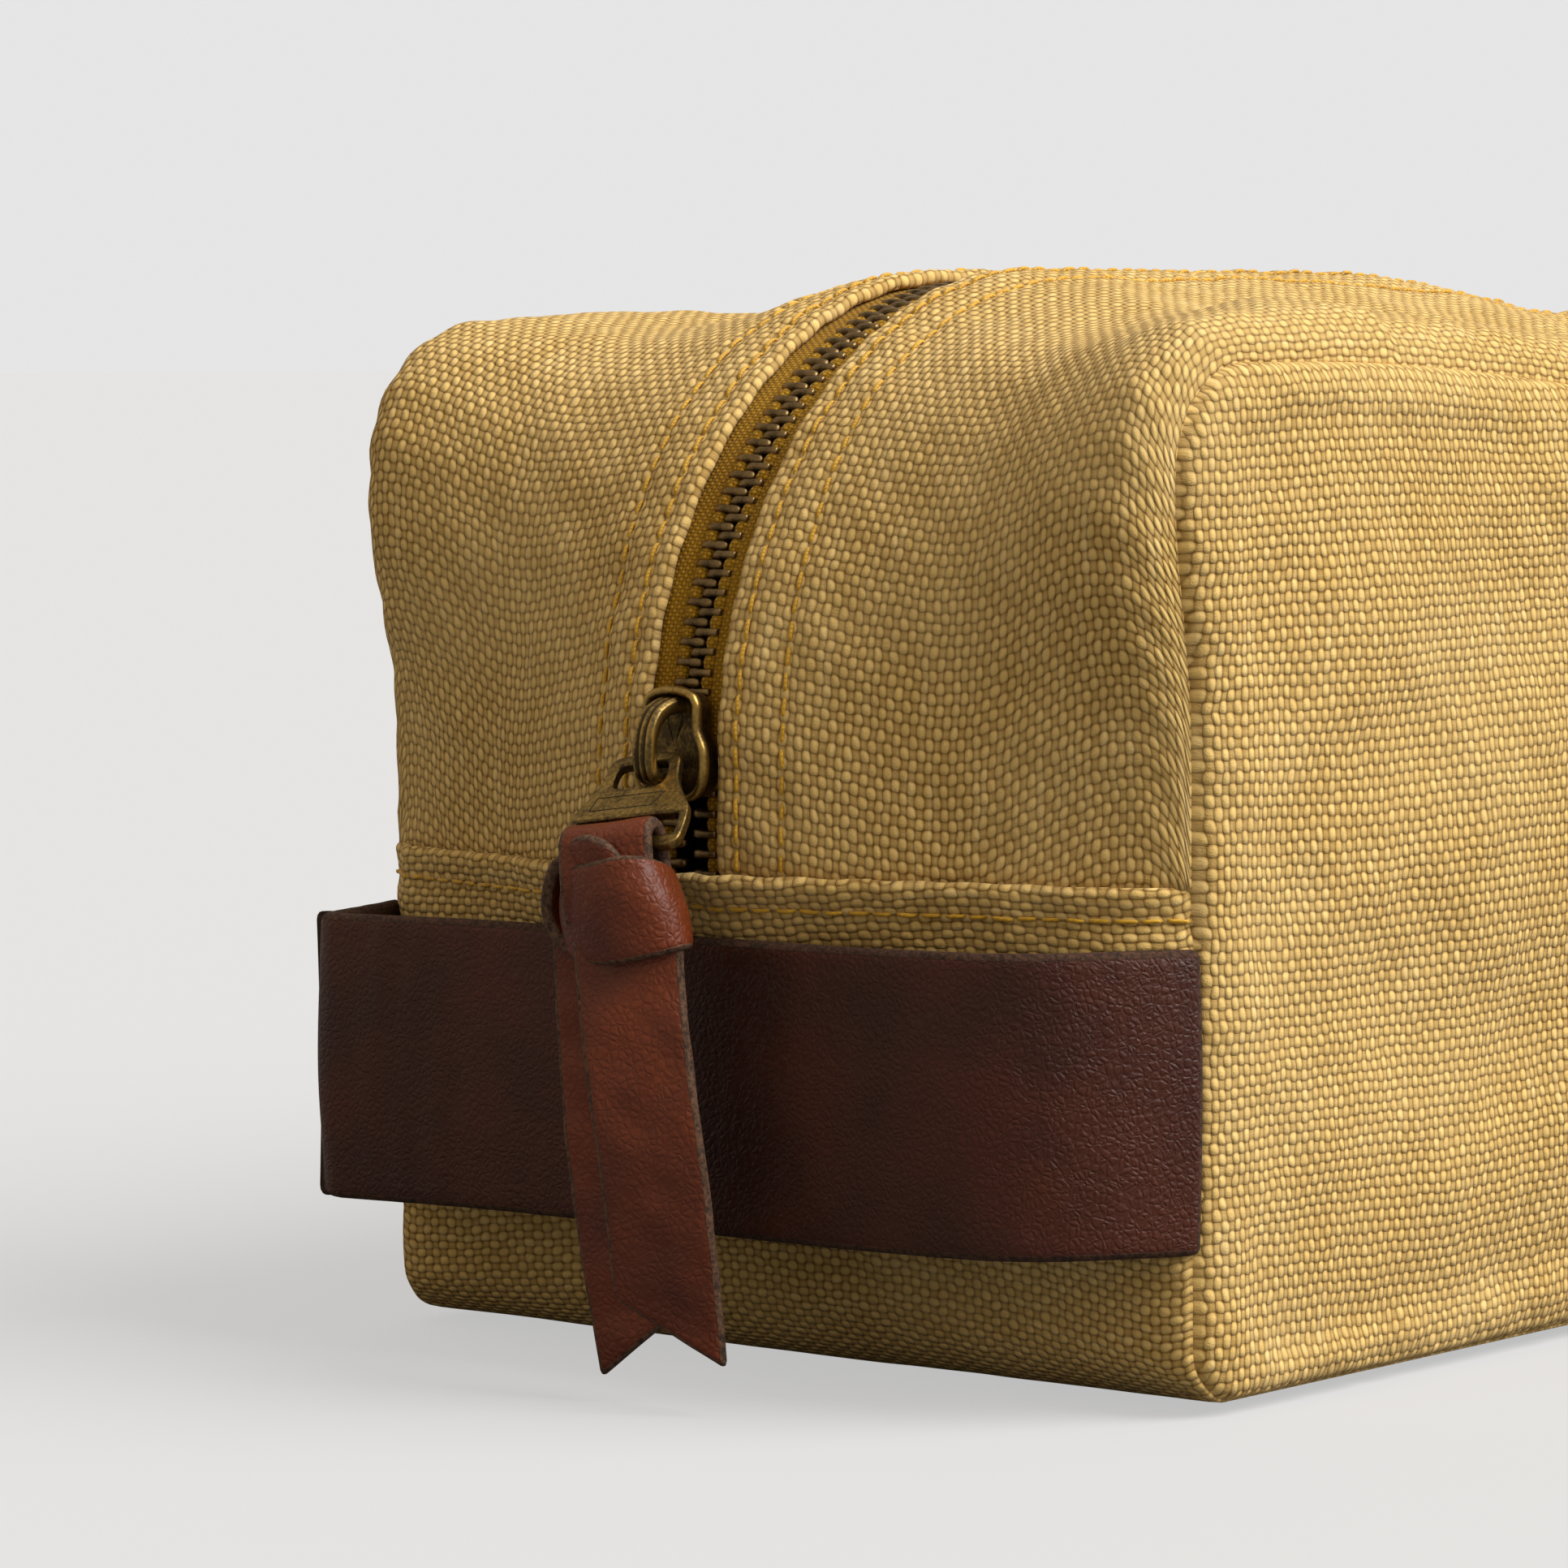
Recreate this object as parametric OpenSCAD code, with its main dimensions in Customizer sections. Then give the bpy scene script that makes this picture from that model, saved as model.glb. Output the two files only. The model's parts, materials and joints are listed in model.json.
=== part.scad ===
// Shaving kit bag: boxy canvas bag with a wrap-over zip, a leather end handle
// and a knotted leather pull. Millimetres. Origin: middle of the base.
// +X runs along the length away from the handle, -Y is the front, +Z is up.

/* [Bag body] */
// Length between the two end seams
bag_length = 250; // [236:1:264]
// Width between the front and rear seams
bag_width = 130; // [124:1:136]
// Height of the top seams above the base
seam_height = 127; // [122:1:132]
// Radius of the panels' top corners
corner_r = 14; // [10:1:18]
// Radius of the panels' bottom corners
foot_r = 7; // [5:1:9]
// How far the top corners lean out
corner_lean = 3; // [0:0.5:5]
// Thickness of the canvas
canvas = 1.0; // [0.8:0.1:1.0]
// Thickness of the lining
lining = 0.5; // [0.3:0.1:0.6]

/* [Shape of the filled bag] */
// How far the front and rear panels belly out
panel_belly = 4; // [1:0.5:6]
// How far the canvas stands above the seam at the top corners
ear_ridge = 5.5; // [2:0.5:7]
// How far the canvas stands above the seam lower down
side_ridge = 1.6; // [0.5:0.1:3]
// How far the zip line sags near the middle of the length
crown_sag = 6; // [0:0.5:8]
// How far the top seams sag
seam_sag = 7; // [0:0.5:8]

/* [Zip] */
// Radius of the zip chain's bend at each end
chain_r = 59; // [58:0.5:60]
// Height of the centre of that bend
arc_z = 77.5; // [76:0.5:79]
// Distance of the centre of that bend inside the end seam
arc_inset = 43; // [42:0.5:44]
// Pitch of the teeth
tooth_pitch = 2.5; // [2.4:0.05:2.7]
// Width of the closed chain
chain_w = 5.8; // [5.6:0.1:5.8]
// Width between the two folded canvas edges
zip_gap = 11.4; // [11.4:0.1:13]
// Width of each zip tape
tape_w = 12.5; // [11:0.5:13]
// Angle of the slider past the start of the bend
slider_rest = 2.5; // [2:0.5:4]

/* [Lower end panel] */
// Height of its folded top edge
fold_z = 64; // [62:0.5:66]
// Depth of the fold
hem_depth = 10; // [8:0.5:11]

/* [Handle strap] */
// Width of the strap
strap_w = 34.5; // [30:0.5:36]
// Thickness of the strap
strap_t = 2.4; // [2:0.1:2.6]
// Height of its lower edge
strap_z = 21; // [20:0.5:22]
// How far its outer face stands off the end seams
strap_out = 20.5; // [20.5:0.5:23]

/* [Pull] */
// Outward tilt of the metal tab
tab_tilt = 46; // [40:1:46]
// Sideways swing of the tab
tab_swing = 11.5; // [10:0.5:16]
// Turn of the tab towards the front
tab_turn = 8.5; // [4:0.5:9]
// Length of the tab from its top bar to its bottom bar
tab_l = 14.8; // [14.5:0.1:15.5]
// Width of the leather strip
pull_w = 12.3; // [11:0.1:12.4]
// Thickness of the leather strip
pull_t = 1.9; // [1.7:0.1:2]

/* [Hidden] */

half_l = bag_length / 2;
edge_y = bag_width / 2 - 0.8;            // seam edge of the gussets
gap = 0.3;                               // clearance between sewn layers
hem_t = 2 * canvas;                      // thickness of a folded edge
tape_t = 0.7;
fabric_r = chain_r + tape_t / 2 + 0.1 + hem_t;  // canvas surface over the zip
arc_x = half_l - arc_inset;              // centres of the end bends
fold_y = zip_gap / 2;
canvas_yellow = [0.72, 0.59, 0.33];
lining_tan = [0.55, 0.47, 0.33];
tape_yellow = [0.66, 0.49, 0.05];
dark_leather = [0.20, 0.09, 0.06];
red_leather = [0.36, 0.14, 0.08];
antique_brass = [0.42, 0.33, 0.16];
dark_bronze = [0.17, 0.14, 0.10];

// ---------- helpers ----------
function clamp01(t) = max(0, min(1, t));
function smooth(t) = let (c = clamp01(t)) c * c * (3 - 2 * c);
function hump(t) = abs(t) >= 1 ? 0 : (1 + cos(180 * t)) / 2;
function unit(v) = v / max(norm(v), 1e-9);
function span(a, b, n) = [for (i = [0:n]) a + (b - a) * i / n];

// ---------- the bag's outer surface ----------
// The gusset runs round the bag in the XZ plane. Each station on it has a seam
// point at the panels' edge and a centre point on the zip line, as [h, z] with
// h the distance from the middle of the length.
function lean(z) = corner_lean * smooth((z - 83) / 28);
top_h = half_l + corner_lean;
seam_rise = seam_height - corner_r - arc_z;
seam_turn = corner_r * PI / 2;
seam_flat = top_h - corner_r - arc_x;
seam_run = seam_rise + seam_turn + seam_flat;
foot_in = 6;                             // base of the end inside the end seam
foot_c = 12;                             // radius of the base edge mid-width
seam_foot = 1.5;                         // bottom seams' height

// Seam point at a distance l along the seam from the height of the bend centre
function seam_over(l) =
    l < seam_rise ? [half_l + lean(arc_z + l), arc_z + l] :
    l < seam_rise + seam_turn ?
        let (a = (l - seam_rise) / corner_r * 180 / PI)
        [top_h - corner_r * (1 - cos(a)), seam_height - corner_r * (1 - sin(a))] :
    [top_h - corner_r - (l - seam_rise - seam_turn), seam_height];

// Outward belly of the end's lower half on the centre line
function end_belly(z) = let (t = clamp01((z - foot_c) / (fold_z - foot_c)))
    -foot_in + 4 + (fabric_r - arc_inset + foot_in - 4) * pow(t, 1.3);

// A station is [kind, value]: "base" by h, "foot" by angle, "end" by height,
// "bend" by angle, "top" by h. It gives [seam point, centre point, direction
// in which the ridge stands off the seam, ridge height].
function station(k, v) =
    k == "base" ? [[v * (half_l - foot_r), seam_foot],
                   [v * (half_l - foot_in - foot_c + 4), 0], [0, -1], 0] :
    k == "foot" ? [[half_l - foot_r * (1 - sin(v)),
                    seam_foot + foot_r * (1 - cos(v))],
                   [half_l - foot_in - foot_c + 4 + foot_c * sin(v),
                    foot_c * (1 - cos(v))],
                   [sin(v), -cos(v)], side_ridge * smooth((v - 30) / 60)] :
    k == "end" ? let (z = seam_foot + foot_r + (arc_z - seam_foot - foot_r) *
                          (v - foot_c) / (arc_z - foot_c))
                 [[half_l + lean(z), z],
                  [half_l + (v > fold_z ? fabric_r - arc_inset : end_belly(v)), v],
                  [1, 0], side_ridge] :
    k == "bend" ? let (l = seam_run * v / 90,
                       a = 90 * clamp01((l - seam_rise + 8) / (seam_turn + 16)))
                  [seam_over(l),
                   [arc_x + fabric_r * cos(v), arc_z + fabric_r * sin(v)],
                   [cos(a), sin(a)],
                   side_ridge + (ear_ridge - side_ridge) * smooth((l + 4) / 34)] :
    [[v * arc_x, seam_height], [v * arc_x, arc_z + fabric_r], [0, 1], ear_ridge - 0.8];

// Sag of the seams and of the zip line at x, felt by the upper half only
function sag_seam(x) = seam_sag * hump((x - 25) / 125);
function sag_crown(x) = crown_sag * hump((x - 55) / 70);
function sagged(x, z, amount) = z - amount * smooth((z - 60) / 60);

// Rise from seam to centre line at s from the seam edge: a tent, rounded at
// the zip and level beside it
level_s = edge_y - 8;
function tent(s) = let (t = s / level_s)
    t >= 1 ? 1 : t < 0.82 ? t * 1.02 : 1 - 0.1636 * pow((1 - t) / 0.18, 1.12);
// Ridge beside the seam
function ridge(s) = s < 5 ? sqrt(max(0, 1 - pow(1 - s / 5, 2))) : hump((s - 5) / 27);

// Point of the canvas surface at a station on the side (-1 or 1) and at y
function canvas_point(st, side, y) =
    let (s = edge_y - abs(y), w = tent(s),
         seam_x = side * st[0][0], mid_x = side * st[1][0],
         seam_z = sagged(seam_x, st[0][1], sag_seam(seam_x)),
         mid_z = sagged(mid_x, st[1][1], sag_crown(mid_x)),
         r = st[3] * ridge(s))
    [seam_x + (mid_x - seam_x) * w + side * st[2][0] * r, y,
     seam_z + (mid_z - seam_z) * w + st[2][1] * r];

// Stations from the left end over the top to the right end
function over_rows(end_zs, bend_n, top_n) = concat(
    [for (z = end_zs) [-1, station("end", z)]],
    [for (i = [1:bend_n]) [-1, station("bend", 90 * i / bend_n)]],
    [for (i = [1:top_n - 1]) let (x = -1 + 2 * i / top_n)
        [x < 0 ? -1 : 1, station("top", abs(x))]],
    [for (i = [0:bend_n - 1]) [1, station("bend", 90 * (1 - i / bend_n))]],
    [for (i = [len(end_zs) - 1:-1:0]) [1, station("end", end_zs[i])]]);

// Stations from the left fold down, under the base and up to the right fold
function under_rows(end_n, foot_n, base_n) =
    let (down = concat([for (z = span(fold_z, foot_c, end_n)) station("end", z)],
                       [for (i = [1:foot_n]) station("foot", 90 * (1 - i / foot_n))]))
    concat([for (st = down) [-1, st]],
        [for (i = [1:base_n - 1]) let (x = -1 + 2 * i / base_n)
            [x < 0 ? -1 : 1, station("base", abs(x))]],
        [for (i = [len(down) - 1:-1:0]) [1, down[i]]]);

function sheet(rows, ys) =
    [for (r = rows) [for (y = ys) canvas_point(r[1], r[0], y)]];

// ---------- solids from grids of points ----------
function normals(g) = let (n = len(g) - 1, m = len(g[0]) - 1)
    [for (i = [0:n]) [for (j = [0:m])
        unit(cross(g[min(i + 1, n)][j] - g[max(i - 1, 0)][j],
                   g[i][min(j + 1, m)] - g[i][max(j - 1, 0)]))]];

// Grid moved along its normals: d is the distance for each row and column
function shifted(g, nrm, d) = [for (i = [0:len(g) - 1])
    [for (j = [0:len(g[0]) - 1]) g[i][j] + nrm[i][j] * d[i][j]]];
function even(g, d) = [for (r = g) [for (p = r) d]];

// Closed shell between an outer and an inner grid of the same size
module shell(outer, inner) {
    n = len(outer);
    m = len(outer[0]);
    pts = [for (r = outer) each r, for (r = inner) each r];
    k = n * m;
    faces = concat(
        [for (i = [0:n - 2]) for (j = [0:m - 2]) each
            [[i * m + j, i * m + j + 1, (i + 1) * m + j],
             [i * m + j + 1, (i + 1) * m + j + 1, (i + 1) * m + j]]],
        [for (i = [0:n - 2]) for (j = [0:m - 2]) each
            [[k + i * m + j, k + (i + 1) * m + j, k + i * m + j + 1],
             [k + i * m + j + 1, k + (i + 1) * m + j, k + (i + 1) * m + j + 1]]],
        [for (i = [0:n - 2]) each
            [[i * m, (i + 1) * m, k + i * m], [k + i * m, (i + 1) * m, k + (i + 1) * m],
             [i * m + m - 1, k + i * m + m - 1, (i + 1) * m + m - 1],
             [k + i * m + m - 1, k + (i + 1) * m + m - 1, (i + 1) * m + m - 1]]],
        [for (j = [0:m - 2]) let (e = (n - 1) * m + j) each
            [[j, k + j, j + 1], [j + 1, k + j, k + j + 1],
             [e, e + 1, k + e], [e + 1, k + e + 1, k + e]]]);
    polyhedron(points = pts, faces = faces, convexity = 6);
}

// ---------- canvas ----------
gusset_s = [0, 0.7, 1.8, 3.2, 5, 8, 12, 18, 26, 35, 44];
hem_ys = [14, 8, fold_y];
front_ys = concat([for (s = gusset_s) s - edge_y], [for (y = hem_ys) -y]);
// Beside the seams the lower panel lies flush, and the strips' ends dive under it
function flush(y) = 1 - smooth((edge_y - abs(y)) / 8);
module zip_gusset(side) {
    ys = side < 0 ? front_ys : [for (i = [len(front_ys) - 1:-1:0]) -front_ys[i]];
    rows = over_rows([fold_z - 8, fold_z - 4, fold_z - 0.2, fold_z + 0.8, 71, arc_z], 12, 16);
    base = sheet(rows, ys);
    nrm = normals(base);
    outer = shifted(base, nrm, [for (r = rows) [for (y = ys)
        r[1][1][1] < fold_z && r[1][1][1] > 20 ? -(hem_t + gap) * flush(y) : 0]]);
    depth = [for (r = rows) [for (y = ys) abs(y) <= 14 ? -hem_t : -canvas]];
    color(canvas_yellow) shell(outer, shifted(outer, nrm, depth));
}
module zip_gusset_front() zip_gusset(-1);
module zip_gusset_rear() zip_gusset(1);

// The lower end panels and the base are one strip. Its folded top edges lap
// over the ends of the zip strips.
module bottom_gusset() {
    side_ys = [for (s = concat(gusset_s, [54])) s - edge_y];
    ys = concat(side_ys, [0], [for (i = [len(side_ys) - 1:-1:0]) -side_ys[i]]);
    rows = under_rows(9, 5, 8);
    base = sheet(rows, ys);
    nrm = [for (r = normals(base)) [for (v = r) -v]];
    lap = [for (r = rows) let (z = r[1][1][1]) [for (y = ys)
        (hem_t + gap) * smooth((z - fold_z + 22) / 13) * (1 - flush(y))]];
    thick = [for (r = rows) [for (y = ys)
        r[1][1][1] > fold_z - hem_depth - 1 ? hem_t : canvas]];
    outer = shifted(base, nrm, lap);
    inner = shifted(base, nrm, lap - thick);
    color(canvas_yellow) shell(inner, outer);
}

// Outline of a side panel, as [x, z], counter-clockwise seen from the front
function outline(steps) =
    let (halfway = concat(
        [for (v = span(0, 1, steps)) station("base", v)[0]],
        [for (i = [1:steps]) station("foot", 90 * i / steps)[0]],
        [for (z = span(foot_c + 8, arc_z - 5, steps)) [half_l, z]],
        [for (i = [0:2 * steps]) seam_over(seam_run * i / (2 * steps))],
        [for (i = [steps - 1:-1:1]) [arc_x * i / steps, seam_height]]))
    [for (p = concat(halfway, [[0, seam_height]],
        [for (i = [len(halfway) - 1:-1:1]) [-halfway[i][0], halfway[i][1]]]))
        [p[0], sagged(p[0], p[1], sag_seam(p[0]))]];

// Pillowed panel between rings of points that shrink towards its middle
module pillow(side, edge, inset, belly, t, rings, steps) {
    ring = outline(steps);
    n = len(ring);
    mid = [0, seam_height / 2];
    fs = [for (k = [0:rings]) 1 - pow(k / rings, 1.5) * 0.94];
    function at(k, i, extra) = let (f = fs[k] * (1 - inset / 70),
        p = mid + (ring[i] - mid) * f, q = 1 - pow(fs[k], 3))
        [p[0], side * (edge + extra + belly * q), p[1]];
    m = n * (rings + 1);
    pts = concat(
        [for (k = [0:rings]) for (i = [0:n - 1]) at(k, i, t)],
        [for (k = [0:rings]) for (i = [0:n - 1]) at(k, i, 0)],
        [[mid[0], side * (edge + t + belly), mid[1]], [mid[0], side * (edge + belly), mid[1]]]);
    function tri(a, b, c) = side < 0 ? [a, b, c] : [a, c, b];
    faces = [for (i = [0:n - 1]) let (j = (i + 1) % n, e = rings * n) each concat(
        [for (k = [0:rings - 1]) let (p = k * n, q = p + n) each
            [tri(p + i, q + i, q + j), tri(p + i, q + j, p + j),
             tri(m + p + i, m + p + j, m + q + j), tri(m + p + i, m + q + j, m + q + i)]],
        [tri(i, j, m + j), tri(i, m + j, m + i),
         tri(e + i, 2 * m, e + j), tri(m + e + i, m + e + j, 2 * m + 1)])];
    polyhedron(points = pts, faces = faces, convexity = 4);
}
panel_y = edge_y + gap;                  // inner face of the panels at the seam
module panel(side) color(canvas_yellow)
    pillow(side, panel_y, 0.4, panel_belly, canvas, 6, 5);
module front_panel() panel(-1);
module rear_panel() panel(1);

// ---------- lining, bound seams and pocket ----------
lining_in = hem_t + tape_t + 1;          // depth of the lining beside the zip
module lining_side(side) color(lining_tan)
    pillow(side, panel_y - canvas - lining - gap, 7, panel_belly, lining, 3, 3);
module lining_front() lining_side(-1);
module lining_rear() lining_side(1);

module lining_zip(side) {
    s_list = [6.5, 9, 13, 20, 30, 44];
    flat_ys = [-16, -9];
    ys0 = concat([for (s = s_list) s - edge_y], flat_ys);
    ys = side < 0 ? ys0 : [for (i = [len(ys0) - 1:-1:0]) -ys0[i]];
    rows = over_rows([fold_z + 1.5, 71, arc_z], 12, 16);
    g = sheet(rows, ys);
    nrm = normals(g);
    top = [for (r = rows) [for (y = ys) -(abs(y) <= 16 ? lining_in : canvas + 3 * gap)]];
    low = [for (r = top) [for (d = r) d - lining]];
    color(lining_tan) shell(shifted(g, nrm, top), shifted(g, nrm, low));
}
module lining_zip_front() lining_zip(-1);
module lining_zip_rear() lining_zip(1);

module lining_bottom() {
    half_ys = [for (s = [3.5, 6, 10, 20, 36, 54]) s - edge_y];
    ys = concat(half_ys, [0], [for (i = [len(half_ys) - 1:-1:0]) -half_ys[i]]);
    rows = [for (r = under_rows(9, 5, 8)) if (r[1][1][1] < fold_z - hem_depth - 2) r];
    g = sheet(rows, ys);
    nrm = [for (r = normals(g)) [for (v = r) -v]];
    color(lining_tan) shell(shifted(g, nrm, even(g, -canvas - gap - lining)),
        shifted(g, nrm, even(g, -canvas - gap)));
}

// Binding folded over the raw seam allowance inside, all round a panel
module seam_binding(side) {
    ring = outline(3);
    n = len(ring);
    mid = [0, seam_height / 2];
    function at(i, f, y) = let (p = mid + (ring[i] - mid) * f) [p[0], side * y, p[1]];
    y_out = panel_y - 2.6;
    pts = [for (i = [0:n - 1]) each
        [at(i, 0.93, y_out), at(i, 0.93, y_out - 2.2), at(i, 0.86, y_out - 2.2),
         at(i, 0.86, y_out)]];
    faces = [for (i = [0:n - 1]) for (k = [0:3])
        let (a = i * 4 + k, b = i * 4 + (k + 1) % 4, j = (i + 1) % n,
             c = j * 4 + (k + 1) % 4, d = j * 4 + k)
        each side < 0 ? [[a, c, b], [a, d, c]] : [[a, b, c], [a, c, d]]];
    color(lining_tan) polyhedron(points = pts, faces = faces, convexity = 4);
}
module seam_binding_front() seam_binding(-1);
module seam_binding_rear() seam_binding(1);

// Flat slip pocket on the rear lining, open at the top
module inner_pocket() {
    pocket_w = 150;
    pocket_h = 62;
    color(lining_tan) translate([-pocket_w / 2, panel_y - 9.1, 22]) difference() {
        cube([pocket_w, 7, pocket_h]);
        translate([1.2, 0.8, 1.2]) cube([pocket_w - 2.4, 5.4, pocket_h]);
    }
}

// ---------- handle strap ----------
// Plan of the strap's middle line, from the front end seam to the rear one, as
// [y, distance out from the end seams]
strap_mid = strap_out - strap_t / 2;
strap_fold = [bag_width / 2 - 10.5, 4.4];  // where the rear fold turns, its radius
fold_turn = 73;
function strap_bow(y) = let (t = (y + bag_width / 2) / 24)
    strap_mid * (1 - pow(1 - clamp01(t), 2.6)) * (1 - 0.1 * (1 - smooth((y + 65) / 60)))
    + 3.2 * smooth((y - 8) / 50);
function strap_path() = let (y_end = strap_fold[0], r = strap_fold[1])
    concat([for (y = concat([-64.8, -64, -62, -59], span(-55, y_end, 16))) [y, strap_bow(y)]],
    [for (a = span(10, fold_turn, 6)) [y_end + r * sin(a), strap_bow(y_end) - r * (1 - cos(a))]],
    [[bag_width / 2 - 0.4, 1.5]]);
function strap_side(path, d) = [for (i = [0:len(path) - 1])
    let (v = unit(path[min(i + 1, len(path) - 1)] - path[max(i - 1, 0)]))
    path[i] + [v[1], -v[0]] * d];
module handle_strap() {
    path = [for (p = strap_path()) [-half_l - p[1], p[0]]];
    ring = concat(strap_side(path, -strap_t / 2),
        [for (i = [len(path) - 1:-1:0]) strap_side(path, strap_t / 2)[i]]);
    color(dark_leather) translate([0, 0, strap_z]) linear_extrude(strap_w) polygon(ring);
}

// ---------- zip ----------
// Chain line by the distance l along it from its left end: [x, z]
chain_start = 60;
run_end = arc_z - chain_start;
run_bend = chain_r * PI / 2;
chain_len = 2 * run_end + 2 * run_bend + 2 * arc_x;
function chain_half(l) =
    l < run_end ? [-arc_x - chain_r, chain_start + l] :
    l < run_end + run_bend ? let (a = (l - run_end) / chain_r * 180 / PI)
        [-arc_x - chain_r * cos(a), arc_z + chain_r * sin(a)] :
    [-arc_x + l - run_end - run_bend, arc_z + chain_r];
function chain_point(l) = let (p = l <= chain_len / 2 ? chain_half(l) :
        let (q = chain_half(chain_len - l)) [-q[0], q[1]])
    [p[0], sagged(p[0], p[1], sag_crown(p[0]))];
function chain_angle(l) = let (d = chain_point(l + 0.5) - chain_point(l - 0.5))
    atan2(d[1], d[0]);

// The open teeth below the slider stand apart
slider_l = run_end + chain_r * slider_rest * PI / 180;
function parting(l) = 1.6 * smooth((slider_l + 1.5 - l) / 5);

tooth_h = 2.2;
module tooth() linear_extrude(tooth_h, center = true) polygon([
    [chain_w / 2, -0.5], [chain_w / 2, 0.5], [0.6, 0.5], [0, 0.57],
    [-0.9, 0.42], [-0.9, -0.42], [0, -0.57], [0.6, -0.5]]);

// Places a child, drawn with x across the zip and y along it, on the chain
module on_chain(l) {
    p = chain_point(l);
    translate([p[0], 0, p[1]]) rotate([0, 90 - chain_angle(l), 0])
        rotate([90, 0, -90]) children();
}
module teeth(side) {
    first = side < 0 ? 4 : 4 + tooth_pitch / 2;
    count = floor((chain_len - 10) / tooth_pitch);
    color(dark_bronze) for (k = [0:count - 1]) let (l = first + k * tooth_pitch)
        on_chain(l) mirror([side < 0 ? 0 : 1, 0, 0]) translate([parting(l), 0, 0]) tooth();
}
module zip_teeth_front() teeth(-1);
module zip_teeth_rear() teeth(1);

// Station of the canvas over the chain at l
function over_chain(l) = let (p = chain_point(l), h = min(l, chain_len - l))
    h < run_end ? station("end", max(p[1], fold_z + 0.2)) :
    h < run_end + run_bend ? station("bend", (h - run_end) / chain_r * 180 / PI) :
    station("top", abs(p[0]) / arc_x);
// How far the canvas at y lies below its level part beside the zip
function tape_drop(l, y) = y <= 8 ? 0 : let (a = chain_angle(l), st = over_chain(l),
    side = chain_point(l)[0] < 0 ? -1 : 1,
    d = canvas_point(st, side, 8) - canvas_point(st, side, y))
    max(0, -d[0] * sin(a) + d[2] * cos(a)) * 1.08 + 0.2;
module zip_tape(side) {
    ls = concat([0.5, 4.2], span(4.8, slider_l + 6, 9),
        [for (i = [1:44]) slider_l + 6 + (chain_len - 4.8 - slider_l - 6) * i / 44],
        [chain_len - 4.2, chain_len - 0.5]);
    tape_in = 1.4;
    // narrow at both ends, where the canvas turns in under the lap fold
    function columns(l) = let (whole = l > 4.5 && l < chain_len - 4.5,
        ys = concat(whole ? [tape_w + 1.5, 8] : [5.2, 3.6], tape_in + parting(l)))
        side < 0 ? ys : [for (i = [2:-1:0]) ys[i]];
    function edge(l, y, d) = let (p = chain_point(l), a = chain_angle(l),
        e = d - tape_drop(l, y))
        [p[0] - e * sin(a), side * y, p[1] + e * cos(a)];
    outer = [for (l = ls) [for (y = columns(l)) edge(l, y, tape_t / 2 - 0.15)]];
    inner = [for (l = ls) [for (y = columns(l)) edge(l, y, -tape_t / 2)]];
    color(tape_yellow) shell(outer, inner);
}
module zip_tape_front() zip_tape(-1);
module zip_tape_rear() zip_tape(1);

module zip_top_stops() color(dark_bronze) for (side = [0, 1])
    on_chain(2) mirror([side, 0, 0]) translate([1.6 + 1.7, 0, 0])
        cube([2.4, 1.8, 2.4], center = true);
module zip_end_stop() color(dark_bronze) on_chain(chain_len - 3)
    cube([chain_w - 0.4, 2, 2.6], center = true);

// ---------- slider ----------
// Pieces on the slider are drawn with x across the zip, y along it and z
// outwards, and z = 0 at the middle of the chain
module on_bend(angle) translate([-arc_x, 0, arc_z]) rotate([0, angle, 0])
    translate([-chain_r, 0, 0]) rotate([90, 0, -90]) children();

slider_len = 13.2;
slider_cavity = 1.55;
slider_floor = 3.4;                      // dished top of the upper plate
slider_rim = 4.7;                        // its raised rim
flange_w = 5.35;
neck_w = 4.0;
function slider_outline(wide, neck) = let (h = slider_len / 2)
    [[-neck, h], [neck, h], [neck, 1.6], [wide, -0.8], [wide, -h + 2.2],
     [wide - 2.6, -h], [-wide + 2.6, -h], [-wide, -h + 2.2], [-wide, -0.8], [-neck, 1.6]];
module slider_body() color(antique_brass) on_bend(slider_rest) {
    wall = 0.6;
    rim_h = 1.8;
    difference() {
        union() {
            translate([0, 0, -2.75]) linear_extrude(slider_floor + 2.75)
                polygon(slider_outline(flange_w, neck_w));
            translate([0, 0, slider_rim - rim_h]) linear_extrude(rim_h)
                polygon(slider_outline(flange_w + 0.5, neck_w + 0.2));
        }
        translate([0, 0, slider_floor]) linear_extrude(2)
            polygon(slider_outline(flange_w - 0.5, neck_w - 0.8));
        translate([0, 0, -slider_cavity]) linear_extrude(2 * slider_cavity)
            polygon([[-neck_w + wall, 7], [neck_w - wall, 7], [neck_w - wall, 1.4],
                [flange_w - wall, -1], [flange_w - wall, -7], [-flange_w + wall, -7],
                [-flange_w + wall, -1], [-neck_w + wall, 1.4]]);
        translate([-8, -8, -0.8]) cube([16, 16, 1.6]);
    }
    translate([0, 0, -slider_cavity - 0.05]) linear_extrude(2 * slider_cavity + 0.1)
        polygon([[0, -2.4], [0.45, -4], [0.45, -slider_len / 2],
            [-0.45, -slider_len / 2], [-0.45, -4]]);
}

bridge_w = 3.0;
module slider_bridge() color(antique_brass) on_bend(slider_rest)
    rotate([90, 0, 90]) translate([0, 0, -bridge_w / 2]) linear_extrude(bridge_w)
        polygon([[5.8, slider_floor], [5.2, 6.2], [4.2, 8], [2.4, 9.3], [0, 9.8], [-2.5, 9.7],
            [-4.2, 8.9], [-4.9, 7.4], [-4.9, slider_floor], [-3.6, slider_floor],
            [-3.6, 7], [-3, 7.9], [-2, 8.2], [0, 8.2], [1.8, 7.7], [3, 6.6],
            [3.8, slider_floor]]);

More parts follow.
